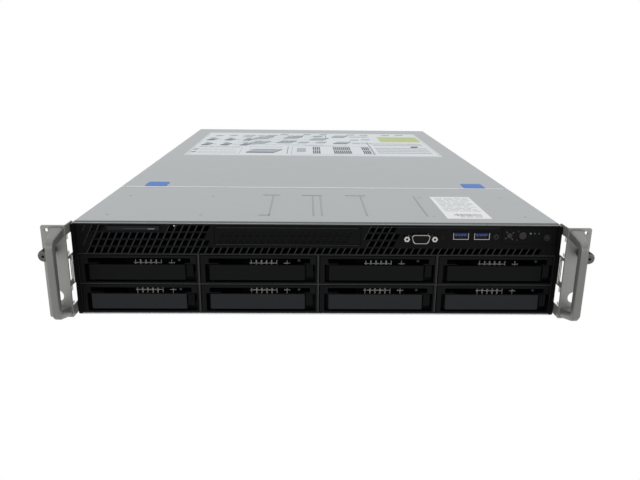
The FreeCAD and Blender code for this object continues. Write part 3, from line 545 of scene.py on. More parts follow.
def dress_nodes(sizes):
    for part in frame["record"]["subparts"]:
        node = frame["nodes"][part["node"]]
        slot_name = part["material_slot"]
        node.data.materials.clear()
        finish = PAINTED_LIGHT_LEVERS.get(part["node"], NODE_FINISHES[slot_name])
        node.data.materials.append(bpy.data.materials[finish])
        if slot_name in ROUNDED_SLOTS:
            round_edges(node, sizes.edge)
        elif slot_name in SHEET_SLOTS:
            round_edges(node, sizes.sheet_edge)


# --- Covers ---
HEM_WIDTH = 2.6
HEM_RISE = 0.45
BEAD_HALF = 0.8
BEAD_RISE = 0.4
BEAD_Y = (31.0, 114.0)
BEAD_LINES = (-46.0, -4.2, 3.8, 46.5, 103.5)
BEAD_STROKES = ((-56.0, -40.0, 118.0), (-15.0, 5.0, 117.0), (31.0, 51.5, 117.0), (-55.0, -46.0, 31.0))
FRONT_BEND = ((7.0, 0.0), (2.4, 0.06), (0.5, 0.03), (-0.06, -0.35), (-0.06, -1.0), (0.2, -1.0), (0.2, -0.2))
DIMPLE_X = (-196.0, -109.5, 109.5, 196.0)
DIMPLE_Y = (30.0, 110.0)
RIVET_X = 213.0
RIVET_Y = 153.0


def add_hem(bm, half_width, y, finish=0):
    """A folded hem: a low bar with a rounded top that runs across the cover."""
    outline = [(0.0, -0.1), (HEM_WIDTH, -0.1), (HEM_WIDTH, HEM_RISE * 0.5)]
    outline += [(HEM_WIDTH * 0.75, HEM_RISE), (HEM_WIDTH * 0.25, HEM_RISE), (0.0, HEM_RISE * 0.5)]
    sheet_of(bm, outline, across_cover(half_width, y), 2 * half_width, finish)


def across_cover(half_width, y):
    """Placement of an outline that is drawn out across the cover: u runs back, v up."""
    turn = Matrix.Rotation(math.radians(90), 4, "Z") @ FRONTAL
    return Matrix.Translation((-half_width, y, TOP_Z)) @ turn


def add_bead(bm, x0, y0, x1, y1):
    """One pressed stiffening bead, drawn as a low rounded bar."""
    low = (min(x0, x1) - BEAD_HALF, min(y0, y1) - BEAD_HALF, TOP_Z - 0.1)
    high = (max(x0, x1) + BEAD_HALF, max(y0, y1) + BEAD_HALF, TOP_Z + BEAD_RISE)
    brick(bm, low, high, BEAD_RISE * 0.6, segments=2)


def make_covers():
    """Hem, pressed beads, dimples and rim rivets of the two covers."""
    bm = bmesh.new()
    add_hem(bm, COVER[1].x - 1.5, SEAM_Y)
    publish("cover_hem", bm, ["bare_sheet_edge"], "rear_cover")

    bm = bmesh.new()
    # The rounded front bend is drawn in the darkened zinc: painted shade where the sheet turns down.
    half_width = COVER[1].x - 1.0
    sheet_of(bm, FRONT_BEND, across_cover(half_width, 0.0), 2 * half_width)
    publish("cover_front_bend", bm, ["bend_painted_shade_zinc"])

    bm = bmesh.new()
    # Beads and dimples take the darker zinc, a painted shade for their flanks.
    for x in BEAD_LINES:
        add_bead(bm, x, BEAD_Y[0], x, BEAD_Y[1])
    for left, right, y in BEAD_STROKES:
        add_bead(bm, left, y, right, y)
    for x in DIMPLE_X:
        for y in DIMPLE_Y:
            rod(bm, (x, y, TOP_Z - 0.1), "Z", 0.3, 2.0, 16, 1.5)
    publish("front_cover_beads", bm, ["bead_painted_shade_zinc"])

    bm = bmesh.new()
    for x in (-RIVET_X, RIVET_X):
        rod(bm, (x, RIVET_Y, TOP_Z - 0.1), "Z", 0.35, 2.0, 16, 1.7)
        # A dark disc in each rivet: painted shade of its hollow.
        rod(bm, (x, RIVET_Y, TOP_Z + 0.2), "Z", 0.1, 1.2, 10, finish=1)
    publish("cover_rivets", bm, ["nickel_screw", "hollow_painted_shade"])


# --- Labels ---
SERVICE_LABEL = ((-191.5, 387.0), (191.5, 659.0))
RATING_LABEL = ((120.4, 21.5), (162.3, 113.5))
PALE, GREY, DARK, NOTE = 1, 2, 3, 4
LABEL_FINISHES = ["label_film", "label_pale_ink", "label_grey_ink", "label_dark_ink", "label_green_field"]


class Print:
    """Flat marks on a label; x and y run as on the cover, from its middle and front edge."""

    def __init__(self, bm, corner0, corner1, film, step):
        (x0, y0), (x1, y1) = corner0, corner1
        self.bm = bm
        self.place = Matrix.Translation((0.0, 0.0, TOP_Z + film))
        self.step = step
        self.count = 0
        brick(bm, (x0, y0, TOP_Z), (x1, y1, TOP_Z + film))

    def shape(self, outline, ink):
        """One mark; each is a hair higher than the last, so that marks that cross don't share a face."""
        self.count += 1
        sheet_of(self.bm, outline, self.place, self.step + 0.002 * (self.count % 24), ink)

    def area(self, x0, y0, x1, y1, ink):
        self.shape([(x0, y0), (x1, y0), (x1, y1), (x0, y1)], ink)

    def frame(self, x0, y0, x1, y1, ink, line=0.9):
        self.area(x0, y0, x1, y0 + line, ink)
        self.area(x0, y1 - line, x1, y1, ink)
        self.area(x0, y0 + line, x0 + line, y1 - line, ink)
        self.area(x1 - line, y0 + line, x1, y1 - line, ink)

    def notes(self, rng, x0, x1, y, rows, pitch, ink, thick):
        """Rows of short bars where a real label has its notes."""
        for row in range(rows):
            at = x0
            while at < x1 - 5.0:
                end = min(at + rng.uniform(4.0, 14.0), x1)
                self.area(at, y - pitch * row, end, y - pitch * row + thick, ink)
                at = end + 1.6

    def box(self, x, y, width, depth, height, inks):
        """A generic box seen from one corner, in three tones: top, side, front."""
        lean = depth * 0.4
        upper = y + height
        back = upper + depth
        self.shape([(x, upper), (x + width, upper), (x + width + lean, back), (x + lean, back)], inks[0])
        side = [(x + width, y), (x + width + lean, y + depth), (x + width + lean, back), (x + width, upper)]
        self.shape(side, inks[1])
        self.shape([(x, y), (x + width, y), (x + width, upper), (x, upper)], inks[2])

    def arrow(self, x, y, length, ink):
        tip = x + length
        outline = [(x, y - 1.0), (tip - 4.0, y - 1.0), (tip - 4.0, y - 3.0), (tip, y)]
        self.shape(outline + [(tip - 4.0, y + 3.0), (tip - 4.0, y + 1.0), (x, y + 1.0)], ink)


def print_steps(marks, rng):
    """Left part of the service label: six small generic fitting steps and their notes."""
    for y in (490, 550):
        for x in (-183, -152, -120):
            marks.box(x, y, 11, 16, 8, (GREY, DARK, DARK))
            marks.box(x + 2, y + 26, 7, 8, 3, (PALE, GREY, GREY))
            marks.arrow(x + 16, y + 14, 9, GREY)
            marks.notes(rng, x, x + 22, y - 7, 1, 4, PALE, 1.6)
    marks.notes(rng, -183, -118, 472, 1, 4, GREY, 3)
    for y in (414, 440):
        marks.box(-187, y, 5, 8, 3, (GREY, DARK, DARK))
        marks.notes(rng, -176, -118, y + 8, 3, 5, PALE, 1.4)
    marks.frame(-189, 404, -112, 466, PALE)


def print_views(marks, rng):
    """Middle part: larger generic views of an opened box."""
    for x, y in ((-106, 512), (-62, 520), (-104, 574), (-52, 580), (-6, 560)):
        marks.box(x, y, 24, 26, 9, (PALE, GREY, GREY))
        marks.arrow(x + 4, y + 46, 14, GREY)
        for k in range(3):
            marks.box(x + 6 + 8 * k, y + 16, 4, 8, 3, (GREY, GREY, GREY))
    for y in (505, 535, 565, 595, 622):
        marks.notes(rng, -128, 18, y, 2, 7, PALE, 1.6)
    for x, y in ((-124, 604), (-84, 610), (-36, 606), (-26, 522), (4, 524), (0, 606)):
        marks.box(x, y, 14, 14, 5, (PALE, DARK, GREY))
    marks.box(-103, 413, 42, 30, 10, (PALE, GREY, DARK))
    marks.area(-100, 446, -58, 449, DARK)
    marks.notes(rng, -102, -48, 478, 2, 6, PALE, 1.6)
    marks.area(-41, 404, -39.8, 486, GREY)
    marks.area(-14, 492, 60, 494, GREY)
    marks.area(22.6, 576, 24, 634, GREY)
    for y in (516, 600):
        marks.box(34, y, 22, 22, 8, (PALE, GREY, DARK))
        marks.notes(rng, 66, 104, y + 14, 3, 6, GREY, 2)
    for x, y in ((64, 560), (84, 566), (62, 632), (86, 628), (126, 628), (152, 632)):
        marks.box(x, y, 13, 10, 4, (PALE, GREY, PALE))
    for x, y in ((-176, 606), (-150, 610), (-60, 634), (-18, 634), (12, 636)):
        marks.box(x, y, 12, 10, 4, (PALE, PALE, GREY))


def print_banks(marks):
    """Memory banks, drawn as plain blocks of bars."""
    for left, right in ((-1, 11), (31.5, 56.5), (77, 89)):
        for y in (412, 450):
            x = left
            while x < right:
                marks.area(x, y, x + 2.2, y + 30, DARK)
                x += 3.1
            marks.area(left, y - 3, right, y - 1.4, GREY)
    marks.frame(-34, 400, 94, 490, PALE)
    marks.area(-26, 424, -12, 466, PALE)


def print_notes(marks, rng):
    """Right part: a coloured field and rows of plain bars."""
    marks.area(116, 546, 186, 612, NOTE)
    marks.notes(rng, 120, 182, 600, 6, 9, PALE, 2)
    marks.area(91, 404, 92.4, 540, GREY)
    for y in (417, 434, 450, 467, 500, 518):
        marks.area(99, y, 182, y + 2.6, GREY)
        marks.notes(rng, 99, 182, y + 6, 1, 4, PALE, 2)
    marks.box(158, 478, 10, 9, 6, (DARK, DARK, DARK))


def make_labels(sizes):
    """Service label on the sliding cover and rating label on the fixed one."""
    film = in_mm(sizes.label_film)
    step = in_mm(sizes.print_step)
    rng = random.Random(sizes.label_seed)

    bm = bmesh.new()
    marks = Print(bm, *SERVICE_LABEL, film, step)
    print_steps(marks, rng)
    print_views(marks, rng)
    print_banks(marks)
    print_notes(marks, rng)
    marks.frame(-189.5, 389.0, 189.5, 657.0, PALE)
    publish("service_label", bm, LABEL_FINISHES, "rear_cover")

    bm = bmesh.new()
    marks = Print(bm, *RATING_LABEL, film, step)
    marks.notes(rng, 124.0, 159.0, 106.0, 11, 5.6, PALE, 1.8)
    for k in range(14):
        marks.area(130.0 + 1.9 * k, 31.0, 130.0 + 1.9 * k + rng.uniform(0.5, 1.2), 39.0, GREY)
    marks.notes(rng, 134.0, 158.0, 27.0, 1, 5.0, GREY, 1.6)
    publish("rating_label", bm, ["label_white_film", *LABEL_FINISHES[1:]])


# --- Handles and thumbscrews ---
FLANGE_Y = -12.6
BAR_Y = -41.0
BAR_BEND = 4.6
ARM_ROOTS = ((8.0, 15.4), (82.0, 175.1))
BAR_X = 222.9
ROOT_X = 227.9
BAR_HALF = (3.2, 4.0)
ROOT_HALF = (6.7, 4.6)
THUMBSCREW_X = 232.55
THUMBSCREW_Z = 66.3


def heading(degrees):
    """Direction of the grip's centre line: 0 is forward, 90 up, 180 backward."""
    angle = math.radians(degrees)
    return Vector((0.0, -math.cos(angle), math.sin(angle)))


def inward(degrees):
    angle = math.radians(degrees)
    return Vector((0.0, math.sin(angle), math.cos(angle)))


def bend_centre(root_z, degrees):
    """Centre of the bend between an arm and the bar, so that both run into it smoothly."""
    y = BAR_Y + BAR_BEND
    touch = y - BAR_BEND * inward(degrees).y
    z = root_z + (touch - FLANGE_Y) * heading(degrees).z / heading(degrees).y
    return Vector((BAR_X, y, z + BAR_BEND * inward(degrees).z))


def grip_stations():
    """Places, headings and half sizes of the sections along one grip."""
    (low_z, low_angle), (high_z, high_angle) = ARM_ROOTS
    root = Vector((ROOT_X, FLANGE_Y, low_z))
    stations = [(root, low_angle, ROOT_HALF)]
    for centre, start, end in (
        (bend_centre(low_z, low_angle), low_angle, 90.0),
        (bend_centre(high_z, high_angle), 90.0, high_angle),
    ):
        for step in range(9):
            angle = start + (end - start) * step / 8
            stations.append((centre - BAR_BEND * inward(angle), angle, BAR_HALF))
    stations.append((Vector((ROOT_X, FLANGE_Y, high_z)), high_angle, ROOT_HALF))
    return stations


def section_frame(place, angle, half):
    """Matrix from a unit section, drawn in its own X-Y plane, to its station."""
    frame_axes = Matrix((Vector((1, 0, 0)), inward(angle), heading(angle))).transposed().to_4x4()
    return Matrix.Translation(place) @ frame_axes @ Matrix.Diagonal((half[0], half[1], 1.0, 1.0))


def make_grip(bm, corner):
    """One cast grip: a rounded section carried along the stations."""
    start = set(bm.verts)
    verts = bmesh.ops.create_grid(bm, x_segments=1, y_segments=1, size=1.0)["verts"]
    bmesh.ops.scale(bm, vec=(BAR_HALF[0], BAR_HALF[1], 1.0), verts=verts)
    soften(bm, verts, corner, 5, "VERTICES")
    verts = [vert for vert in bm.verts if vert not in start]
    bmesh.ops.scale(bm, vec=(1 / BAR_HALF[0], 1 / BAR_HALF[1], 1.0), verts=verts)
    face = faces_of(verts)[0]
    stations = grip_stations()
    place = section_frame(*stations[0])
    bmesh.ops.transform(bm, matrix=place, verts=verts)
    for number, station in enumerate(stations[1:]):
        face = grow_cap(bm, face, number == 0)
        onward = section_frame(*station)
        bmesh.ops.transform(bm, matrix=onward @ place.inverted(), verts=face.verts)
        place = onward


def make_handles(sizes):
    """Both grips, the left one mirrored from the right."""
    bm = bmesh.new()
    make_grip(bm, in_mm(sizes.handle_round))
    bmesh.ops.mirror(
        bm,
        geom=[*bm.verts, *bm.edges, *bm.faces],
        matrix=Matrix.Identity(4),
        merge_dist=0.0,
        axis="X",
    )
    bmesh.ops.recalc_face_normals(bm, faces=bm.faces)
    finishes = ["satin_grey_enamel"]
    publish("rack_handle_grips", bm, finishes, replaces=("rack_handles",), smooth=True)


def knurled_head(bm, x, start, length, radius, ridges):
    """A ring of ridges drawn out along Y and closed by turned-down ends."""
    verts = bmesh.ops.create_circle(bm, cap_ends=True, segments=2 * ridges, radius=radius)["verts"]
    bmesh.ops.scale(bm, vec=(0.93, 0.93, 1.0), verts=verts[::2])
    bmesh.ops.transform(bm, matrix=Matrix.Translation((x, start, THUMBSCREW_Z)) @ FRONTAL, verts=verts)
    face = faces_of(verts)[0]
    centre = Vector((x, 0, THUMBSCREW_Z))
    profile = ((0.6, 1.12), (length - 1.4, 1.0), (0.6, 0.9))
    bmesh.ops.scale(bm, vec=(0.88, 1.0, 0.88), space=Matrix.Translation(-centre), verts=verts)
    for number, (advance, spread) in enumerate(profile):
        face = grow_cap(bm, face, number == 0)
        bmesh.ops.translate(bm, vec=(0, advance, 0), verts=face.verts)
        bmesh.ops.scale(bm, vec=(spread, 1.0, spread), space=Matrix.Translation(-centre), verts=face.verts)


def make_thumbscrews(sizes):
    """Knurled captive screws, one in each flange."""
    for name, side in (("left", -1), ("right", 1)):
        node = "thumbscrew_" + name
        low, high = corners(node)
        x = side * THUMBSCREW_X
        bm = bmesh.new()
        knurled_head(bm, x, low.y + 1.4, 14.6, 5.3, sizes.knurl)
        rod(bm, (x, low.y, THUMBSCREW_Z), "Y", 1.8, 4.2, 32, round_by=0.5)
        # A dark dot in the recess and a dark ring round the face: painted shade.
        rod(bm, (x, low.y - 0.02, THUMBSCREW_Z), "Y", 0.1, 1.3, 6, finish=1)
        tube(bm, (x, low.y + 0.36, THUMBSCREW_Z), "Y", 0.2, 4.1, 3.7, 32, finish=1)
        rod(bm, (x, low.y + 15.8, THUMBSCREW_Z), "Y", 5.0, 3.8, 28, round_by=0.4)
        rod(bm, (x, low.y + 20.6, THUMBSCREW_Z), "Y", 11.2, 2.4, 24)
        rod(bm, (x, low.y + 24.4, THUMBSCREW_Z), "Y", 1.0, 3.9, 28, round_by=0.2)
        rod(bm, (x, high.y - 0.4, THUMBSCREW_Z), "Y", 0.4, 2.4, 24, 1.9)
        bmesh.ops.recalc_face_normals(bm, faces=bm.faces)
        publish(node + "_head", bm, ["tarnished_nickel", "hollow_painted_shade"], node, (node,))


# --- Front ports ---
VGA_X = 91.8
PORT_Z = 74.5
VGA_FACE = -4.2
PIN_PITCH = 2.3
USB_X = (128.4, 147.4)
USB_Z = 77.0
JACK_OFFSET = 12.5
PIN_ROWS = ((2.0, 0.0), (0.0, 0.6), (-2.0, 0.0))


def d_outline(grow):
    """The D outline of the video connector, wider above, with cut corners."""
    wide, narrow, tall, cut = 8.3 + grow, 7.0 + grow, 4.1 + grow, 1.6
    right = [(narrow - cut, -tall), (narrow, -tall + cut), (wide, tall - cut), (wide - cut, tall)]
    return right + [(-u, v) for u, v in reversed(right)]


def video_pins(bm, middle, y, z, side, finish):
    """Pin holes of a video connector in three rows; side is -1 where it looks to the rear."""
    for row, offset in PIN_ROWS:
        for k in range(5):
            x = middle + side * ((k - 2) * PIN_PITCH + offset)
            rod(bm, (x, y, z + row), "Y", 0.1, 0.42, 8, finish=finish)


def make_front_ports():
    """Insert and pin holes of the video connector, jack nuts, and the blue port tongues."""
    bm = bmesh.new()
    sheet_of(bm, d_outline(-0.6), on_front(VGA_X, VGA_FACE + 3.4, PORT_Z), 3.4)
    # Pin holes and the bores of the jack nuts are dark discs: painted shade.
    video_pins(bm, VGA_X, VGA_FACE - 0.04, PORT_Z, 1, 1)
    for side in (-1, 1):
        x = VGA_X + side * JACK_OFFSET
        rod(bm, (x, VGA_FACE + 0.2, PORT_Z), "Y", 0.5, 1.35, 16, finish=1)
        tube(bm, (x, VGA_FACE, PORT_Z), "Y", 4.2, 2.7, 1.2, 6, finish=2)
    rod(bm, (VGA_X + 20.2, -0.3, PORT_Z + 0.6), "Y", 0.4, 2.5, 24, round_by=0.15)
    publish("video_port_insert", bm, ["socket_black_nylon", "hollow_painted_shade", "nickel_screw"])

    bm = bmesh.new()
    for x in USB_X:
        brick(bm, (x - 5.9, -0.1, USB_Z + 0.1), (x + 5.9, 7.7, USB_Z + 2.3), 0.25)
        brick(bm, (x - 7.1, -0.95, USB_Z + 2.7), (x + 7.1, -0.7, USB_Z + 3.6), 0.1, 2)
        for k in range(4):
            u = x - 3.6 + 2.4 * k
            brick(bm, (u - 0.45, 0.4, USB_Z - 0.1), (u + 0.45, 6.0, USB_Z + 0.1), 0.0, 1)
        # The back of each socket is the port blue darkened: painted shade.
        brick(bm, (x - 6.4, 5.0, USB_Z - 2.8), (x + 6.4, 7.5, USB_Z + 0.1), 0.0, 3)
    finishes = ["port_blue_insert", "contact_gold", "socket_black_nylon", "port_blue_painted_shade"]
    publish("data_port_tongues", bm, finishes)


# --- Drive bays ---
BAR_PITCH = 4.84
BAR_START = -8.5
BAR_STEPS = (0, 1, 2, 3, 4, 5, 7)
THIN_STEPS = (0, 5, 7)
SHIELD_FRONT = 24.0
SPINE_SPANS = ((-10.0, 16.0), (22.4, 28.6))
SHIELD_RISE = (6.0, 14.9)
SPINE = ((11.4, 12.3), (12.6, 13.5))
LIGHT_PIPE_U = 37.0
VENT_MIDDLE = 21.8


def bay_origin(number):
    """Middle and floor of a bay, from its carrier."""
    low, high = corners("drive_carrier_%d" % number)
    return (low.x + high.x) / 2, low.z


def make_bay(number):
    """Bright comb behind the vent, and the light pipe, of one carrier."""
    x, floor = bay_origin(number)
    carrier = "drive_carrier_%d" % number
    bm = bmesh.new()
    # The comb's near-white steel is partly a painted highlight.
    front = SHIELD_FRONT - 0.6
    for k in BAR_STEPS:
        middle = x + BAR_START + BAR_PITCH * k
        half = 0.4 if k in THIN_STEPS else 0.65
        low = (middle - half, front, floor + SHIELD_RISE[0])
        brick(bm, low, (middle + half, front + 0.7, floor + SHIELD_RISE[1]), 0.15)
    foot, head = SPINE[number > 4]
    for left, right in SPINE_SPANS:
        brick(bm, (x + left, front - 0.1, floor + foot), (x + right, front + 0.6, floor + head), 0.2)
    publish("carrier_%d_comb" % number, bm, ["spring_steel_and_painted_glint"], carrier)

    bm = bmesh.new()
    base = 1.4
    place = (x + LIGHT_PIPE_U, base, floor + VENT_MIDDLE)
    tube(bm, place, "Y", 5.0, 1.6, 1.0, 24)
    rod(bm, (place[0], base + 0.8, place[2]), "Y", 3.6, 1.0, 16, finish=1)
    finishes = ["carrier_black_abs", "smoked_lens"]
    publish("carrier_%d_light_pipes" % number, bm, finishes, carrier)


def make_bays():
    for number in BAYS:
        make_bay(number)


# --- Grille, operator panel and information tab ---
HOLE_PITCH = 6.2
HOLE_W = 4.5
HOLE_H = 5.0
HOLE_LEAN = 0.5
ROW_PITCH = 6.8
FIRST_ROW_Z = 59.5
LATTICE_X = -213.0
OPEN_X = (-208.5, 207.0)
BLIND_X = -213.1
PLAIN_ZONES = ((-95.0, 40.0, 67.0), (-189.1, -139.9, 79.1), (74.0, 220.0, 65.0))
HOLE_LIP = 0.5
FILM = 0.05
ID_BUTTON = (172.6, 77.4)
RESET_BUTTON = (207.0, 75.6)
NMI_PLACE = (160.6, 76.0)


def slanted(x, z, width, height):
    lean = HOLE_LEAN * height
    return [(x, z), (x + width, z), (x + width + lean, z + height), (x + lean, z + height)]


def grille_lattice():
    """Left foot, floor and openness of every place in the leaning pattern."""
    for row in range(4):
        z = FIRST_ROW_Z + ROW_PITCH * row
        for k in range(70):
            x = LATTICE_X + HOLE_LEAN * ROW_PITCH * row + HOLE_PITCH * (k - 3)
            reach = x + HOLE_W + HOLE_LEAN * HOLE_H
            if x < BLIND_X or reach > OPEN_X[1]:
                continue
            if any(reach > left and x < right and z + HOLE_H > floor for left, right, floor in PLAIN_ZONES):
                continue
            yield x, z, x >= OPEN_X[0]


def make_grille_trim():
    """Edges, webs and slots of the grille, moulded lines, edges of the cage and marks of the tab."""
    bm = bmesh.new()
    # Hole lips, blind holes and the slots along the top are dark film: painted shade where the punched
    # edges and hollows lie in shadow.
    face = on_front(0.0, 0.0, 0.0)
    for x, z, is_open in grille_lattice():
        if is_open:
            low = slanted(x - HOLE_LIP * HOLE_LEAN, z - HOLE_LIP, HOLE_W, HOLE_LIP)
            high = slanted(x + HOLE_H * HOLE_LEAN, z + HOLE_H, HOLE_W, HOLE_LIP)
            sheet_of(bm, low, face, FILM)
            sheet_of(bm, high, face, FILM)
        else:
            whole = slanted(x - HOLE_LIP * HOLE_LEAN, z - HOLE_LIP, HOLE_W, HOLE_H + 2 * HOLE_LIP)
            sheet_of(bm, whole, face, FILM)
        # Webs between the holes are in the paler plastic: a painted highlight on their edges.
        if x > BLIND_X + 1.0:
            web = slanted(x - 1.1, z - HOLE_LIP, 0.45, HOLE_H + 2 * HOLE_LIP)
            sheet_of(bm, web, face, 0.2, 1)
    x = -92.0
    while x < 212.0:
        sheet_of(bm, slanted(x, 84.95, 3.9, 0.95), face, FILM)
        x += HOLE_PITCH
    publish("grille_edges", bm, ["hollow_painted_shade", "edge_painted_highlight_abs"])

    bm = bmesh.new()
    # Moulded lines in the paler plastic: painted highlights where the edges catch the light.
    front = -0.3
    low, high = FILLER
    brick(bm, (low.x + 2, front, high.z - 1.1), (high.x - 2, 0.5, high.z - 0.8), 0.1)
    brick(bm, (low.x + 1, front, low.z - 0.9), (high.x - 1, 0.5, low.z - 0.6), 0.1)
    brick(bm, (46.0, front, 84.2), (163.0, 0.5, 84.45), 0.1)
    brick(bm, (-217.0, front, 58.3), (217.0, 0.5, 58.6), 0.1)
    rod(bm, (-128.4, -0.5, 84.9), "Y", 0.8, 0.7, 16, round_by=0.15, finish=1)
    publish("grille_lines", bm, ["edge_painted_highlight_abs", "nickel_screw"])

    bm = bmesh.new()
    # Paler coated strips on the divider and shelf edges: painted highlights.
    for x in (-108.6, 0.0, 108.6):
        brick(bm, (x + 0.3, 0.2, 2.6), (x + 0.75, 1.1, 57.4), 0.1)
    brick(bm, (-216.0, 0.3, 29.3), (216.0, 1.1, 29.7), 0.1)
    publish("cage_front_edges", bm, ["edge_painted_highlight_coat"])

    bm = bmesh.new()
    lip = TAB[0].y
    brick(bm, (-173.0, lip - 0.06, 82.3), (-152.0, lip + 0.2, 82.6))
    brick(bm, (-151.5, lip - 0.06, 81.9), (-145.6, lip + 0.2, 82.7), 0.0, 1)
    publish("info_tab_marks", bm, ["panel_dim_ink", "white_legend_ink"], "info_tab")


def make_operator_panel():
    """Plain marks beside the buttons, their collars and the light windows."""
    bm = bmesh.new()
    face = on_front(0.0, PANEL[0].y, 0.0)
    x, z = ID_BUTTON
    for turn in (40, 130, 220, 310):
        place = face @ Matrix.Translation((x, z, 0)) @ Matrix.Rotation(math.radians(turn), 4, "Z")
        sheet_of(bm, [(3.1, -0.3), (4.3, -0.45), (5.4, 0.0), (4.3, 0.45), (3.1, 0.3)], place, FILM)
    for u, w in ((6.6, -4.4), (7.4, 3.4)):
        brick(bm, (x + u, PANEL[0].y - 0.1, z + w), (x + u + 0.8, PANEL[0].y + 0.2, z + w + 0.8))
    for (x, z), radius in ((RESET_BUTTON, 2.6), (NMI_PLACE, 2.0)):
        place = PANEL[0].y if x > PANEL[0].x else 0.0
        tube(bm, (x, place - 0.1, z), "Y", 0.3, radius, radius - 0.35, 24)
    publish("panel_marks", bm, ["panel_dim_ink"])

    bm = bmesh.new()
    for k, x in enumerate((191.6, 195.4, 199.2)):
        finish = 1 if k == 0 else 0
        brick(bm, (x - 0.7, PANEL[0].y - 0.05, 78.7), (x + 0.7, PANEL[0].y + 0.9, 80.1), 0.15, finish)
    publish("panel_lights", bm, ["smoked_lens", "clear_lens"])


# --- Ears ---
PLATE_X = (220.4, 221.6)
SIDE_RIVETS = (
    (219.1, -219.6, 2.0, 20, ((94.0, 20.0), (94.0, 66.0), (120.0, 43.0))),
    (218.9, -219.4, 1.9, 16, [(y, z) for y in (160.0, 300.0, 440.0, 580.0) for z in (12.0, 66.0)]),
)


def make_ear_trim():
    """Spring strips beside the bezel, and the folded catches in the side windows."""
    bm = bmesh.new()
    # Strips and catches in the near-white steel, partly a painted highlight.
    for side in (-1, 1):
        for y, low, high in ((-3.4, 33.0, 58.0), (-6.5, 36.5, 55.5)):
            x = sorted((side * 219.8, side * 220.3))
            brick(bm, (x[0], y, low), (x[1], y + 0.8, high), 0.15)
        for low, high in ((74.0, 78.2), (60.0, 63.4), (26.0, 30.6), (13.4, 16.4)):
            x = sorted((side * (PLATE_X[0] + 0.2), side * (PLATE_X[1] - 0.2)))
            brick(bm, (x[0], -10.2, low), (x[1], -6.0, high), 0.3)
    publish("ear_springs", bm, ["spring_steel_and_painted_glint"])

    bm = bmesh.new()
    brick(bm, (-218.6, -0.3, 0.05), (218.6, 0.3, 1.1), 0.1)
    for plain, mirrored, radius, sides, places in SIDE_RIVETS:
        for y, z in places:
            for start in (mirrored, plain):
                rod(bm, (start, y, z), "X", 0.5, radius, sides, round_by=0.15, finish=1)
    publish("tray_edge_and_rivets", bm, ["bare_sheet_edge", "nickel_screw"])


# --- Rear ---
JACK_X = (-196.0, -104.0, -87.0, -70.0, -53.0)
DATA_SPAN = (-181.0, -169.0)
DATA_LEVELS = (11.2, 17.0)
VIDEO_X = -137.5
VIDEO_Z = 16.3
CONNECTOR_FACE = 712.6
SUPPLY_FACE = 711.6
SUPPLY_FLOOR = 1.2
SUPPLY_MIDDLES = (105.0, 180.5)
SUPPLY_HALF = 36.75
DUCT_OFFSET = (16.0, 19.5)
INLET_RIM = 1.1
SLOT_SPANS = ((-208.0, -86.0), (-76.0, 46.0), (76.0, 198.0))
SLOT_LEVELS = (47.0, 66.0)


def make_rear_ports():
    """Contacts and lamps of the network jacks, tongues of the data ports, pins of the video port."""
    bm = bmesh.new()
    for x in JACK_X:
        for k in range(8):
            u = x - 3.6 + 1.02 * k
            brick(bm, (u, CONNECTOR_FACE - 12.0, 18.6), (u + 0.4, CONNECTOR_FACE - 2.0, 19.0))
        for side, finish in ((-1, 1), (1, 2)):
            low = (x + side * 6.9 - 0.7, CONNECTOR_FACE - 0.1, 20.9)
            brick(bm, low, (x + side * 6.9 + 0.7, CONNECTOR_FACE + 0.15, 22.3), 0.1, finish)
        brick(bm, (x - 5.8, CONNECTOR_FACE - 13.5, 12.1), (x + 5.8, CONNECTOR_FACE - 12.6, 20.3), 0.0, 3)
    for z in DATA_LEVELS:
        left, right = DATA_SPAN
        brick(bm, (left, CONNECTOR_FACE - 9.0, z + 2.6), (right, CONNECTOR_FACE - 1.0, z + 4.2), 0.2, 4)
        for k in range(4):
            u = left + 2.0 + 2.4 * k
            brick(bm, (u, CONNECTOR_FACE - 8.0, z + 2.3), (u + 0.8, CONNECTOR_FACE - 2.0, z + 2.6))
    finishes = ["contact_gold", "green_lens", "smoked_lens", "socket_black_nylon", "port_blue_insert"]
    publish("rear_port_contacts", bm, finishes)

    bm = bmesh.new()
    to_rear = Matrix.Rotation(math.pi, 4, "Z") @ FRONTAL
    place = Matrix.Translation((VIDEO_X, CONNECTOR_FACE + 0.8, VIDEO_Z)) @ to_rear
    sheet_of(bm, d_outline(0.0), Matrix.Translation((0, -0.9, 0)) @ place, 0.9)
    sheet_of(bm, d_outline(-0.9), place, 0.15, 1)
    # Pin holes are dark discs: painted shade.
    video_pins(bm, VIDEO_X, CONNECTOR_FACE + 0.9, VIDEO_Z, -1, 2)
    for side in (-1, 1):
        x = VIDEO_X + side * JACK_OFFSET
        tube(bm, (x, CONNECTOR_FACE - 0.2, VIDEO_Z), "Y", 3.4, 2.5, 1.4, 6)
    publish("rear_video_port", bm, ["nickel_plate", "port_blue_insert", "hollow_painted_shade"])


def make_slot_covers():
    """Screws and folded tabs that hold the six slot covers."""
    bm = bmesh.new()
    for left, right in SLOT_SPANS:
        for level in SLOT_LEVELS:
            x = right - 3.2
            rod(bm, (x, SUPPLY_FACE - 0.9, level + 8.5), "Y", 1.1, 2.4, 20, round_by=0.3)
            # A dark disc in each screw head: painted shade of its recess.
            rod(bm, (x, SUPPLY_FACE + 0.18, level + 8.5), "Y", 0.06, 1.1, 6, finish=1)
            low = (left + 7.0, SUPPLY_FACE - 0.1, level + 2.6)
            brick(bm, low, (left + 13.0, SUPPLY_FACE + 0.3, level + 14.0), 0.15, 2)
    publish("slot_cover_screws", bm, ["nickel_screw", "hollow_painted_shade", "riser_plated_steel"])


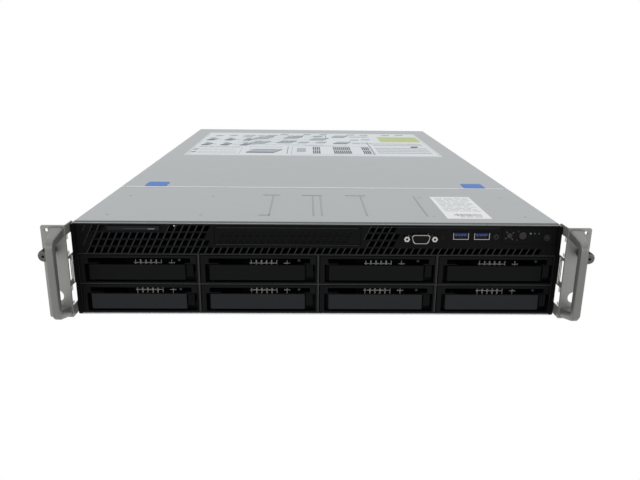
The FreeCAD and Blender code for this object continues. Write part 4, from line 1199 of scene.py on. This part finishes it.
def make_supply_trim():
    """Finger guard rings, inlet insulator and lamp of each supply."""
    for number, middle in enumerate(SUPPLY_MIDDLES, 1):
        left = middle - SUPPLY_HALF
        node = "power_supply_%d" % number
        bm = bmesh.new()
        centre = (middle + DUCT_OFFSET[0], SUPPLY_FACE - 2.2, SUPPLY_FLOOR + DUCT_OFFSET[1])
        for radius in (9.5, 12.5):
            tube(bm, centre, "Y", 1.2, radius + 0.5, radius - 0.5)
        tube(bm, (left + 21.5, SUPPLY_FACE - 1.0, SUPPLY_FLOOR + 24.5), "Y", 1.6, 3.2, 2.6, 4, 1)
        x0, x1 = left + 9.0, left + 34.0
        z0, z1 = SUPPLY_FLOOR + 16.0, SUPPLY_FLOOR + 33.0
        for a, b in (
            ((x0 - INLET_RIM, z0 - INLET_RIM), (x1 + INLET_RIM, z0)),
            ((x0 - INLET_RIM, z1), (x1 + INLET_RIM, z1 + INLET_RIM)),
            ((x0 - INLET_RIM, z0), (x0, z1)),
            ((x1, z0), (x1 + INLET_RIM, z1)),
        ):
            brick(bm, (a[0], SUPPLY_FACE - 14.0, a[1]), (b[0], SUPPLY_FACE + 0.6, b[1]), 0.2, 1)
        lamp = (left + 7.0, SUPPLY_FACE - 0.2, SUPPLY_FLOOR + 7.0)
        rod(bm, lamp, "Y", 0.9, 1.5, 20, round_by=0.3, finish=2)
        finishes = ["nickel_plate", "socket_black_nylon", "green_lens"]
        publish(node + "_trim", bm, finishes, node)


# --- Inside ---
BOARD_TOP = 9.6
PROCESSOR_X = (-102.0, 102.0)
MODULE_BANKS = [x + side * (50.0 + 9.4 * k) for x in PROCESSOR_X for side in (-1, 1) for k in range(6)]
PROCESSOR_Y = 395.0
FREE_ZONES = ((-205.0, 60.0, 485.0, 555.0), (-40.0, 40.0, 300.0, 470.0), (10.0, 60.0, 600.0, 690.0))
PARTS_PER_ZONE = 26
DRIVE_TOP = 26.4


def make_memory_chips():
    """Rows of memory chips on every module, with the contact strip at its foot."""
    bm = bmesh.new()
    for x in MODULE_BANKS:
        for k in range(10):
            y = PROCESSOR_Y - 61.0 + 12.4 * k
            brick(bm, (x - 1.3, y, 23.0), (x + 1.3, y + 9.2, 34.0))
        for level in (18.0, 37.5):
            low = (x - 0.85, PROCESSOR_Y - 60.0, level)
            brick(bm, low, (x + 0.85, PROCESSOR_Y + 60.0, level + 0.8), 0.0, 1)
    publish("memory_chips", bm, ["chip_epoxy", "contact_gold"])


def make_board_parts(sizes):
    """Capacitors, coils and chips scattered over the free parts of the main board."""
    rng = random.Random(sizes.label_seed + 4)
    bm = bmesh.new()
    for x0, x1, y0, y1 in FREE_ZONES:
        for _ in range(PARTS_PER_ZONE):
            x = rng.uniform(x0, x1)
            y = rng.uniform(y0, y1)
            kind = rng.choice((0, 1, 2))
            if kind == 0:
                rod(bm, (x, y, BOARD_TOP - 0.1), "Z", 7.0, 2.6, 16, round_by=0.3)
            elif kind == 1:
                brick(bm, (x - 4, y - 4, BOARD_TOP - 0.1), (x + 4, y + 4, BOARD_TOP + 1.6), 0.2, 1)
            else:
                brick(bm, (x - 3, y - 3, BOARD_TOP - 0.1), (x + 3, y + 3, BOARD_TOP + 4.0), 0.5, 2)
    publish("board_parts", bm, ["nickel_plate", "chip_epoxy", "socket_black_nylon"])


def make_drive_lids():
    """Bright pressed lid and lid screws of each drive."""
    for number in BAYS:
        x, floor = bay_origin(number)
        top = floor + DRIVE_TOP
        bm = bmesh.new()
        brick(bm, (x - 49.0, 42, top - 0.3), (x + 49.0, 187, top + 0.04), 0.1)
        brick(bm, (x - 30.0, 62, top - 0.1), (x + 30.0, 152, top + 0.1), 0.08)
        for u, y in ((-46, 46), (46, 46), (-46, 183), (46, 183), (-46, 114), (46, 114)):
            rod(bm, (x + u, y, top), "Z", 0.12, 1.8, 12, finish=1)
        finishes = ["supply_plated_steel", "nickel_screw"]
        publish("drive_%d_lid" % number, bm, finishes, "drive_carrier_%d" % number)


def make_fan_hubs():
    """A moulded ring and a shallow dimple on the hub of each fan."""
    for number in range(1, 7):
        low, high = corners("fan_rotor_%d" % number)
        x, z = (low.x + high.x) / 2, (low.z + high.z) / 2
        bm = bmesh.new()
        tube(bm, (x, low.y - 0.2, z), "Y", 0.4, 9.0, 7.8)
        rod(bm, (x, low.y - 0.15, z), "Y", 0.3, 2.2, 20, round_by=0.1)
        rotor = "fan_rotor_%d" % number
        publish("fan_hub_ring_%d" % number, bm, ["fan_glass_filled_pbt"], rotor)


# --- Stage ---
CAMERA_RIGHT = Vector((0.99974, -0.01998, 0.01155))
CAMERA_UP = Vector((-0.00540, 0.28386, 0.95886))
CAMERA_BACK = Vector((-0.02243, -0.95866, 0.28368))
CAMERA_PLACE = Vector((-0.0113, -0.8919, 0.2337))
CAMERA_LENS = 35.6
REACH = 6.0


def soft_lamp(name, place, aim, width, depth, power):
    lamp = bpy.data.lights.new(name, "AREA")
    lamp.shape = "RECTANGLE"
    lamp.size = width
    lamp.size_y = depth
    lamp.energy = power
    holder = place_object(name, lamp)
    holder.location = place
    holder.rotation_euler = (Vector(aim) - Vector(place)).to_track_quat("-Z", "Y").to_euler()


def make_stage():
    """Camera, white floor, white surroundings, and soft light from above, in front and both sides."""
    scene = bpy.context.scene
    camera = bpy.data.cameras.new("camera")
    camera.lens = CAMERA_LENS
    camera.sensor_width = 36.0
    camera.clip_start = 0.01
    camera.clip_end = 50.0
    holder = place_object("camera", camera)
    turn = Matrix((CAMERA_RIGHT, CAMERA_UP, CAMERA_BACK)).transposed().to_4x4()
    holder.matrix_world = Matrix.Translation(CAMERA_PLACE) @ turn
    scene.camera = holder

    white_ground("white_floor_paint")
    bm = bmesh.new()
    square = ((-1, -1), (1, -1), (1, 1), (-1, 1))
    bm.faces.new([bm.verts.new((REACH * x, REACH * y, 0)) for x, y in square])
    mesh_object("floor", bm, ["white_floor_paint"])

    soft_lamp("overhead", (0.0, 0.2, 1.9), (0.0, 0.0, 0.0), 2.6, 2.6, 13.5)
    soft_lamp("front_fill", (-0.15, -2.0, 0.5), (0.0, 0.0, 0.06), 1.6, 0.6, 4.5)
    for name, side in (("left_wing", -1), ("right_wing", 1)):
        soft_lamp(name, (1.5 * side, -1.3, 0.5), (-0.2 * side, -0.35, 0.05), 1.0, 0.8, 6.0)

    world = bpy.data.worlds.new("studio")
    scene.world = world
    world.use_nodes = True
    tree = world.node_tree
    tree.nodes.clear()
    level = add(tree, "MapRange", {"Value": sight_rays(tree), "To Min": 0.48, "To Max": 1.0})
    sky = add(tree, "Background", {"Color": (1.0, 1.0, 1.0, 1.0), "Strength": level.outputs["Result"]})
    add(tree, "OutputWorld", {"Surface": sky.outputs["Background"]})

    scene.view_settings.view_transform = "Standard"


# --- Operators ---
class SERVER_OT_finishes(bpy.types.Operator):
    """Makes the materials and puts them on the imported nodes"""

    bl_idname = "server.finishes"
    bl_label = "Finishes"

    def execute(self, context):
        make_materials(context.scene.server_colours)
        dress_nodes(context.scene.server_sizes)
        return {"FINISHED"}


class SERVER_OT_covers(bpy.types.Operator):
    """Hem, beads and rivets of the two covers"""

    bl_idname = "server.covers"
    bl_label = "Covers"

    def execute(self, context):
        make_covers()
        return {"FINISHED"}


class SERVER_OT_labels(bpy.types.Operator):
    """Generic service and rating labels"""

    bl_idname = "server.labels"
    bl_label = "Labels"

    def execute(self, context):
        make_labels(context.scene.server_sizes)
        return {"FINISHED"}


class SERVER_OT_handles(bpy.types.Operator):
    """Rounded rack handles"""

    bl_idname = "server.handles"
    bl_label = "Handles"

    def execute(self, context):
        make_handles(context.scene.server_sizes)
        return {"FINISHED"}


class SERVER_OT_thumbscrews(bpy.types.Operator):
    """Knurled captive screws"""

    bl_idname = "server.thumbscrews"
    bl_label = "Thumbscrews"

    def execute(self, context):
        make_thumbscrews(context.scene.server_sizes)
        return {"FINISHED"}


class SERVER_OT_front_ports(bpy.types.Operator):
    """Inserts of the video and data ports"""

    bl_idname = "server.front_ports"
    bl_label = "Front ports"

    def execute(self, context):
        make_front_ports()
        return {"FINISHED"}


class SERVER_OT_drive_bays(bpy.types.Operator):
    """Combs and light pipes of the eight carriers"""

    bl_idname = "server.drive_bays"
    bl_label = "Drive bays"

    def execute(self, context):
        make_bays()
        return {"FINISHED"}


class SERVER_OT_grille(bpy.types.Operator):
    """Hole edges, slots and moulded lines of the grille, and the tab's marks"""

    bl_idname = "server.grille"
    bl_label = "Grille"

    def execute(self, context):
        make_grille_trim()
        return {"FINISHED"}


class SERVER_OT_operator_panel(bpy.types.Operator):
    """Plain marks and light windows of the operator panel"""

    bl_idname = "server.operator_panel"
    bl_label = "Operator panel"

    def execute(self, context):
        make_operator_panel()
        return {"FINISHED"}


class SERVER_OT_ears(bpy.types.Operator):
    """Spring strips, catches and side rivets"""

    bl_idname = "server.ears"
    bl_label = "Ears"

    def execute(self, context):
        make_ear_trim()
        return {"FINISHED"}


class SERVER_OT_rear(bpy.types.Operator):
    """Rear ports, slot covers and power supplies"""

    bl_idname = "server.rear"
    bl_label = "Rear"

    def execute(self, context):
        make_rear_ports()
        make_slot_covers()
        make_supply_trim()
        return {"FINISHED"}


class SERVER_OT_inside(bpy.types.Operator):
    """Memory chips, board parts, drive lids and fan hubs"""

    bl_idname = "server.inside"
    bl_label = "Inside"

    def execute(self, context):
        make_memory_chips()
        make_board_parts(context.scene.server_sizes)
        make_drive_lids()
        make_fan_hubs()
        return {"FINISHED"}


class SERVER_OT_stage(bpy.types.Operator):
    """Sets up the camera, the floor and the lamps"""

    bl_idname = "server.stage"
    bl_label = "Stage"

    def execute(self, context):
        make_stage()
        return {"FINISHED"}


OPERATORS = (
    SERVER_OT_finishes,
    SERVER_OT_covers,
    SERVER_OT_labels,
    SERVER_OT_handles,
    SERVER_OT_thumbscrews,
    SERVER_OT_front_ports,
    SERVER_OT_drive_bays,
    SERVER_OT_grille,
    SERVER_OT_operator_panel,
    SERVER_OT_ears,
    SERVER_OT_rear,
    SERVER_OT_inside,
    SERVER_OT_stage,
)


class SERVER_PT_panel(bpy.types.Panel):
    """Sizes, colours and the steps that build the server"""

    bl_idname = "SERVER_PT_panel"
    bl_label = "Rack server"
    bl_space_type = "VIEW_3D"
    bl_region_type = "UI"
    bl_category = "Server"

    def draw(self, context):
        layout = self.layout
        for group in (context.scene.server_sizes, context.scene.server_colours):
            column = layout.column(align=True)
            for name in group.__annotations__:
                column.prop(group, name)
        column = layout.column(align=True)
        for operator in OPERATORS:
            column.operator(operator.bl_idname)


CLASSES = (ServerColours, ServerSizes, *OPERATORS, SERVER_PT_panel)


def register():
    for one in CLASSES:
        bpy.utils.register_class(one)
    bpy.types.Scene.server_colours = bpy.props.PointerProperty(type=ServerColours)
    bpy.types.Scene.server_sizes = bpy.props.PointerProperty(type=ServerSizes)


def unregister():
    del bpy.types.Scene.server_sizes
    del bpy.types.Scene.server_colours
    for one in reversed(CLASSES):
        bpy.utils.unregister_class(one)


def main():
    register()
    bpy.ops.server.finishes()
    bpy.ops.server.covers()
    bpy.ops.server.labels()
    bpy.ops.server.handles()
    bpy.ops.server.thumbscrews()
    bpy.ops.server.front_ports()
    bpy.ops.server.drive_bays()
    bpy.ops.server.grille()
    bpy.ops.server.operator_panel()
    bpy.ops.server.ears()
    bpy.ops.server.rear()
    bpy.ops.server.inside()
    bpy.ops.server.stage()


if __name__ == "__main__":
    main()
